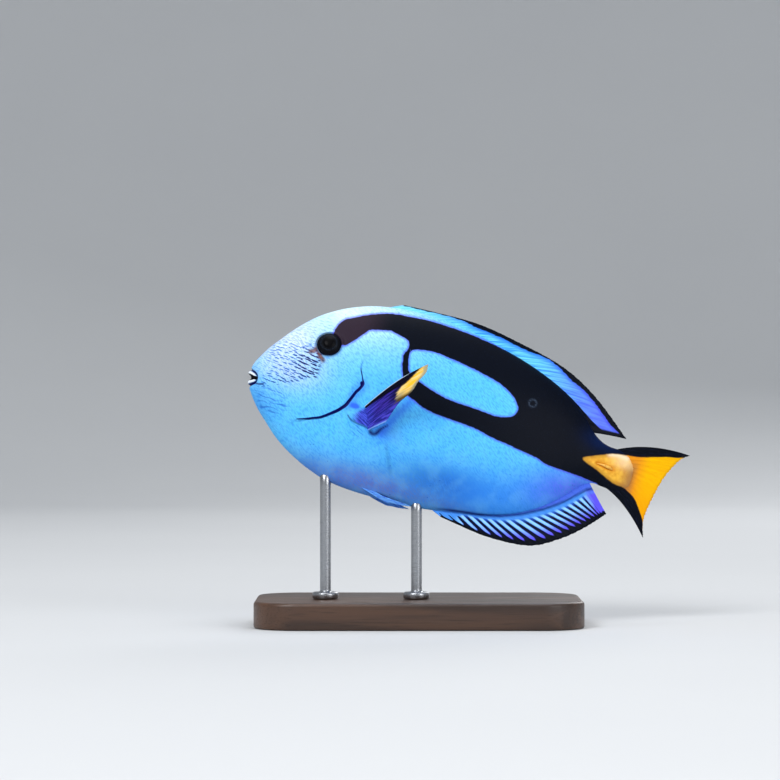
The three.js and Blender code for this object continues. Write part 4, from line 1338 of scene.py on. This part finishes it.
def build_fins():
    single = [
        ("dorsal", DORSAL, edge_fin(DORSAL, 0), dorsal_colour, dorsal_values, {}),
        ("anal", ANAL, edge_fin(ANAL, 2), anal_colour, anal_values, {}),
        ("tail", CAUDAL, tail_curve, tail_colour, tail_values, {"split": 0.2}),
    ]
    for kind, fin, curve, colour_of, values_of, extra in single:
        material = fin_material(f"{kind}_web", colour_of)
        build_fin(kind, "", fin, curve, 1, STOUT, material, values_of, **extra)
    pectoral = fin_material("pectoral_web", pectoral_colour)
    pelvic = fin_material("pelvic_web", pelvic_colour)
    for name, side in SIDES:
        curve = paired_fin(PECTORAL, pectoral_root)
        build_fin("pectoral", f"_{name}", PECTORAL, curve, side, FINE, pectoral, pectoral_values, split=0.2)
        curve = paired_fin(PELVIC, pelvic_root)
        build_fin("pelvic", f"_{name}", PELVIC, curve, side, FINE, pelvic, pelvic_values, notch=0.03)


# Eyes and tail spines

EYE_RINGS = 40
EYE_SIDES = 72
EYE_GAP = 0.05  # how much smaller the ball is than the solid
PUPIL_EDGE = 0.46  # as a share of the eye's radius
PUPIL_RISE = 0.22
SPINE_RINGS = 24
SPINE_SIDES = 16


def build_eye(name, side, material):
    """A flattened ball with a raised pupil and a shallow ring round it."""
    surface, normal = eye_frame()
    across = np.cross(normal, (0, 0, 1))
    across /= np.linalg.norm(across)
    upward = np.cross(across, normal)
    polar = np.linspace(0, math.pi, EYE_RINGS + 1)[1:-1]
    turn = np.linspace(0, 2 * math.pi, EYE_SIDES, endpoint=False)
    radial = np.sin(polar)
    relief = PUPIL_RISE * smooth((PUPIL_EDGE - radial) / 0.12)
    relief -= 0.1 * bell((radial - 0.47) / 0.05) + 0.06 * bell((radial - 0.8) / 0.05)
    depth = EYE_RADIUS * EYE_FLATNESS
    height = depth * np.cos(polar) + np.where(polar < math.pi / 2, relief, 0)
    out = (EYE_RADIUS - EYE_GAP) * radial
    x = np.outer(out, np.cos(turn))
    y = np.outer(out, np.sin(turn))
    rings = np.stack([x, y, height[:, None] + 0 * x], -1).reshape(-1, 3)
    local = np.concatenate([rings, [(0, 0, depth + PUPIL_RISE), (0, 0, -depth)]])
    points = surface - EYE_SUNK * normal + local @ np.array([across, upward, normal])
    values = {
        "radial": np.concatenate([np.repeat(radial, EYE_SIDES), [0, 0]]),
        "round": local * (1, 1, 0),
    }
    faces = ring_faces(len(polar), EYE_SIDES)
    front, rear = len(rings), len(rings) + 1
    last_ring = len(rings) - EYE_SIDES
    for k in range(EYE_SIDES):
        after = (k + 1) % EYE_SIDES
        faces += [(front, k, after), (rear, last_ring + after, last_ring + k)]
    place = placed(points * (1, side, 1))
    new_piece(f"eyeball_{name}", place, faces, material, [f"eye_{name}"], values)


def build_spine(name, side, material):
    """The folded spine: flat, pointed ahead, lying in its groove."""
    share = np.linspace(0, 1, SPINE_RINGS)[:, None]
    turn = np.linspace(0, 2 * math.pi, SPINE_SIDES, endpoint=False)
    along = SPINE_TIP + (SPINE_ROOT - SPINE_TIP) * share + 0 * turn
    taper = 1 - 0.45 * smooth((share - 0.85) / 0.15)
    size = np.sin(math.pi / 2 * np.minimum(1, share * 1.25 + 0.04)) * taper
    out = flank(along, SPINE_UP) + size * (0.3 + 0.6 * np.cos(turn)) - 0.15
    up = SPINE_UP + 0.25 * np.sin(math.pi * share) + 0.72 * size * np.sin(turn)
    points = placed(np.stack([along, side * out, up], -1).reshape(-1, 3))
    faces = lofted(SPINE_RINGS, SPINE_SIDES)
    new_piece(f"spine_{name}", points, faces, material, [f"tail_spine_{name}"], {})


# Stand


def rounded_outline(half_x, half_y, corner, steps=20):
    centres = [(1, 1), (-1, 1), (-1, -1), (1, -1)]
    points = []
    for quarter, (sx, sy) in enumerate(centres):
        for turn in np.linspace(0, math.pi / 2, steps) + quarter * math.pi / 2:
            x = sx * (half_x - corner) + corner * math.cos(turn)
            y = sy * (half_y - corner) + corner * math.sin(turn)
            points.append((x, y))
    return np.array(points)


def build_base(material):
    """A flat board with a rounded upper edge and a small chamfer below."""
    low, high = (np.array(corner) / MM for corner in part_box("stand_base"))
    half = (high - low) / 2
    middle = (high + low) / 2
    thickness = 2 * half[2]
    profile = list(BASE_FOOT)
    for turn in np.linspace(0, math.pi / 2, 9):
        profile.append((BASE_BEVEL * (1 - math.cos(turn)), thickness - BASE_BEVEL * (1 - math.sin(turn))))
    profile.append((BASE_BEVEL + 1.0, thickness))
    rows = []
    for inset, height in profile:
        outline = rounded_outline(half[0] - inset, half[1] - inset, BASE_CORNER - inset)
        rows.append([(middle[0] + x, middle[1] + y, low[2] + height) for x, y in outline])
    points = np.array(rows).reshape(-1, 3) * MM
    faces = lofted(len(rows), len(rows[0]))
    piece = new_piece("base_board", points, faces, material, ["stand_base"], {})
    piece.data.set_sharp_from_angle(angle=math.radians(40))


def build_rod(name, node, material):
    """A turned rod with a collar at its foot, up to the keel."""
    low, high = (np.array(corner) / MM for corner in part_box(node))
    middle = (high + low) / 2
    radius = (high[0] - low[0]) / 2
    foot, top = low[2], high[2]
    collar_top = foot + COLLAR_HEIGHT
    profile = [(radius - COLLAR_CHAMFER, foot), (radius, foot + COLLAR_CHAMFER)]
    profile.append((radius, collar_top - COLLAR_ROUND))
    turns = np.linspace(0, math.pi / 2, 6)
    for turn in turns[1:]:
        inset, drop = COLLAR_ROUND * (1 - math.cos(turn)), COLLAR_ROUND * (1 - math.sin(turn))
        profile.append((radius - inset, collar_top - drop))
    for turn in turns:
        out, rise = FILLET * (1 - math.sin(turn)), FILLET * (1 - math.cos(turn))
        profile.append((ROD_RADIUS + out, collar_top + rise))
    profile += [(ROD_RADIUS, z) for z in np.linspace(collar_top + 1.5, top - ROD_CHAMFER, 12)]
    profile.append((ROD_RADIUS - ROD_CHAMFER, top))
    points = turned(profile, ROD_SIDES, middle) * MM
    faces = lofted(len(profile), ROD_SIDES)
    piece = new_piece(name, points, faces, material, [node], {})
    piece.data.set_sharp_from_angle(angle=math.radians(50))


# Studio, in metres

FLOOR_RADIUS = 1.55
FLOOR_CURVE = 1.15
WALL_HEIGHT = 2.6
STUDIO_SIDES = 96
FLOOR_GAP = 0.0002  # the floor lies this far below the stand


def build_studio():
    """A round pale floor that curves up into a wall all round."""
    profile = [(0.02, 0), (0.5, 0), (FLOOR_RADIUS, 0)]
    for turn in np.linspace(0, math.pi / 2, 14)[1:]:
        profile.append((FLOOR_RADIUS + FLOOR_CURVE * math.sin(turn), FLOOR_CURVE * (1 - math.cos(turn))))
    profile.append((FLOOR_RADIUS + FLOOR_CURVE, WALL_HEIGHT))
    faces = [*ring_faces(len(profile), STUDIO_SIDES), range(STUDIO_SIDES)[::-1]]
    studio = new_object("studio", new_mesh("studio", turned(profile, STUDIO_SIDES), faces, studio_material()))
    studio.location.z = -FLOOR_GAP


def add_light(name, place, aim, size, power):
    data = bpy.data.lights.new(name, "AREA")
    data.shape = "DISK"
    data.size = size
    data.energy = power
    light = new_object(name, data)
    light.location = place
    light.rotation_euler = (Vector(aim) - Vector(place)).to_track_quat("-Z", "Y").to_euler()


def build_lights():
    middle = (0.0, 0.0, 0.1)
    add_light("key", (-0.8, -1.25, 1.3), middle, 0.9, 23)
    add_light("top", (0.1, 0.1, 1.7), middle, 1.2, 12)
    add_light("fill", (1.1, -1.15, 0.6), middle, 1.0, 9)
    add_light("rear", (0.6, 1.5, 0.9), middle, 0.9, 8)
    world = bpy.data.worlds.new("studio_air")
    world.use_nodes = True
    air = world.node_tree.nodes["Background"]
    air.inputs["Color"].default_value = (0.9, 0.95, 1.0, 1)
    air.inputs["Strength"].default_value = 0.4
    bpy.context.scene.world = world


def build_camera():
    data = bpy.data.cameras.new("camera")
    data.sensor_width = SENSOR
    data.lens = SENSOR * -CAMERA[1] / VIEW_WIDTH
    data.clip_end = 20
    camera = new_object("camera", data)
    camera.location = CAMERA * MM
    camera.rotation_euler = (math.pi / 2, 0, 0)
    bpy.context.scene.camera = camera
    bpy.context.scene.view_settings.view_transform = "Standard"


def build_fish():
    points, faces, values = build_skin()
    flesh = ["head", "trunk", "tail_stalk"]
    new_piece("fish_skin", placed(points), faces, skin_material(), flesh, values)
    build_fins()
    eye = eye_material()
    bone = bone_material()
    for name, side in SIDES:
        build_eye(name, side, eye)
        build_spine(name, side, bone)


def build_stand():
    build_base(walnut_material())
    steel = steel_material()
    build_rod("rod_front", "stand_rod_front", steel)
    build_rod("rod_rear", "stand_rod_rear", steel)


build_camera()
build_fish()
build_stand()
build_studio()
build_lights()
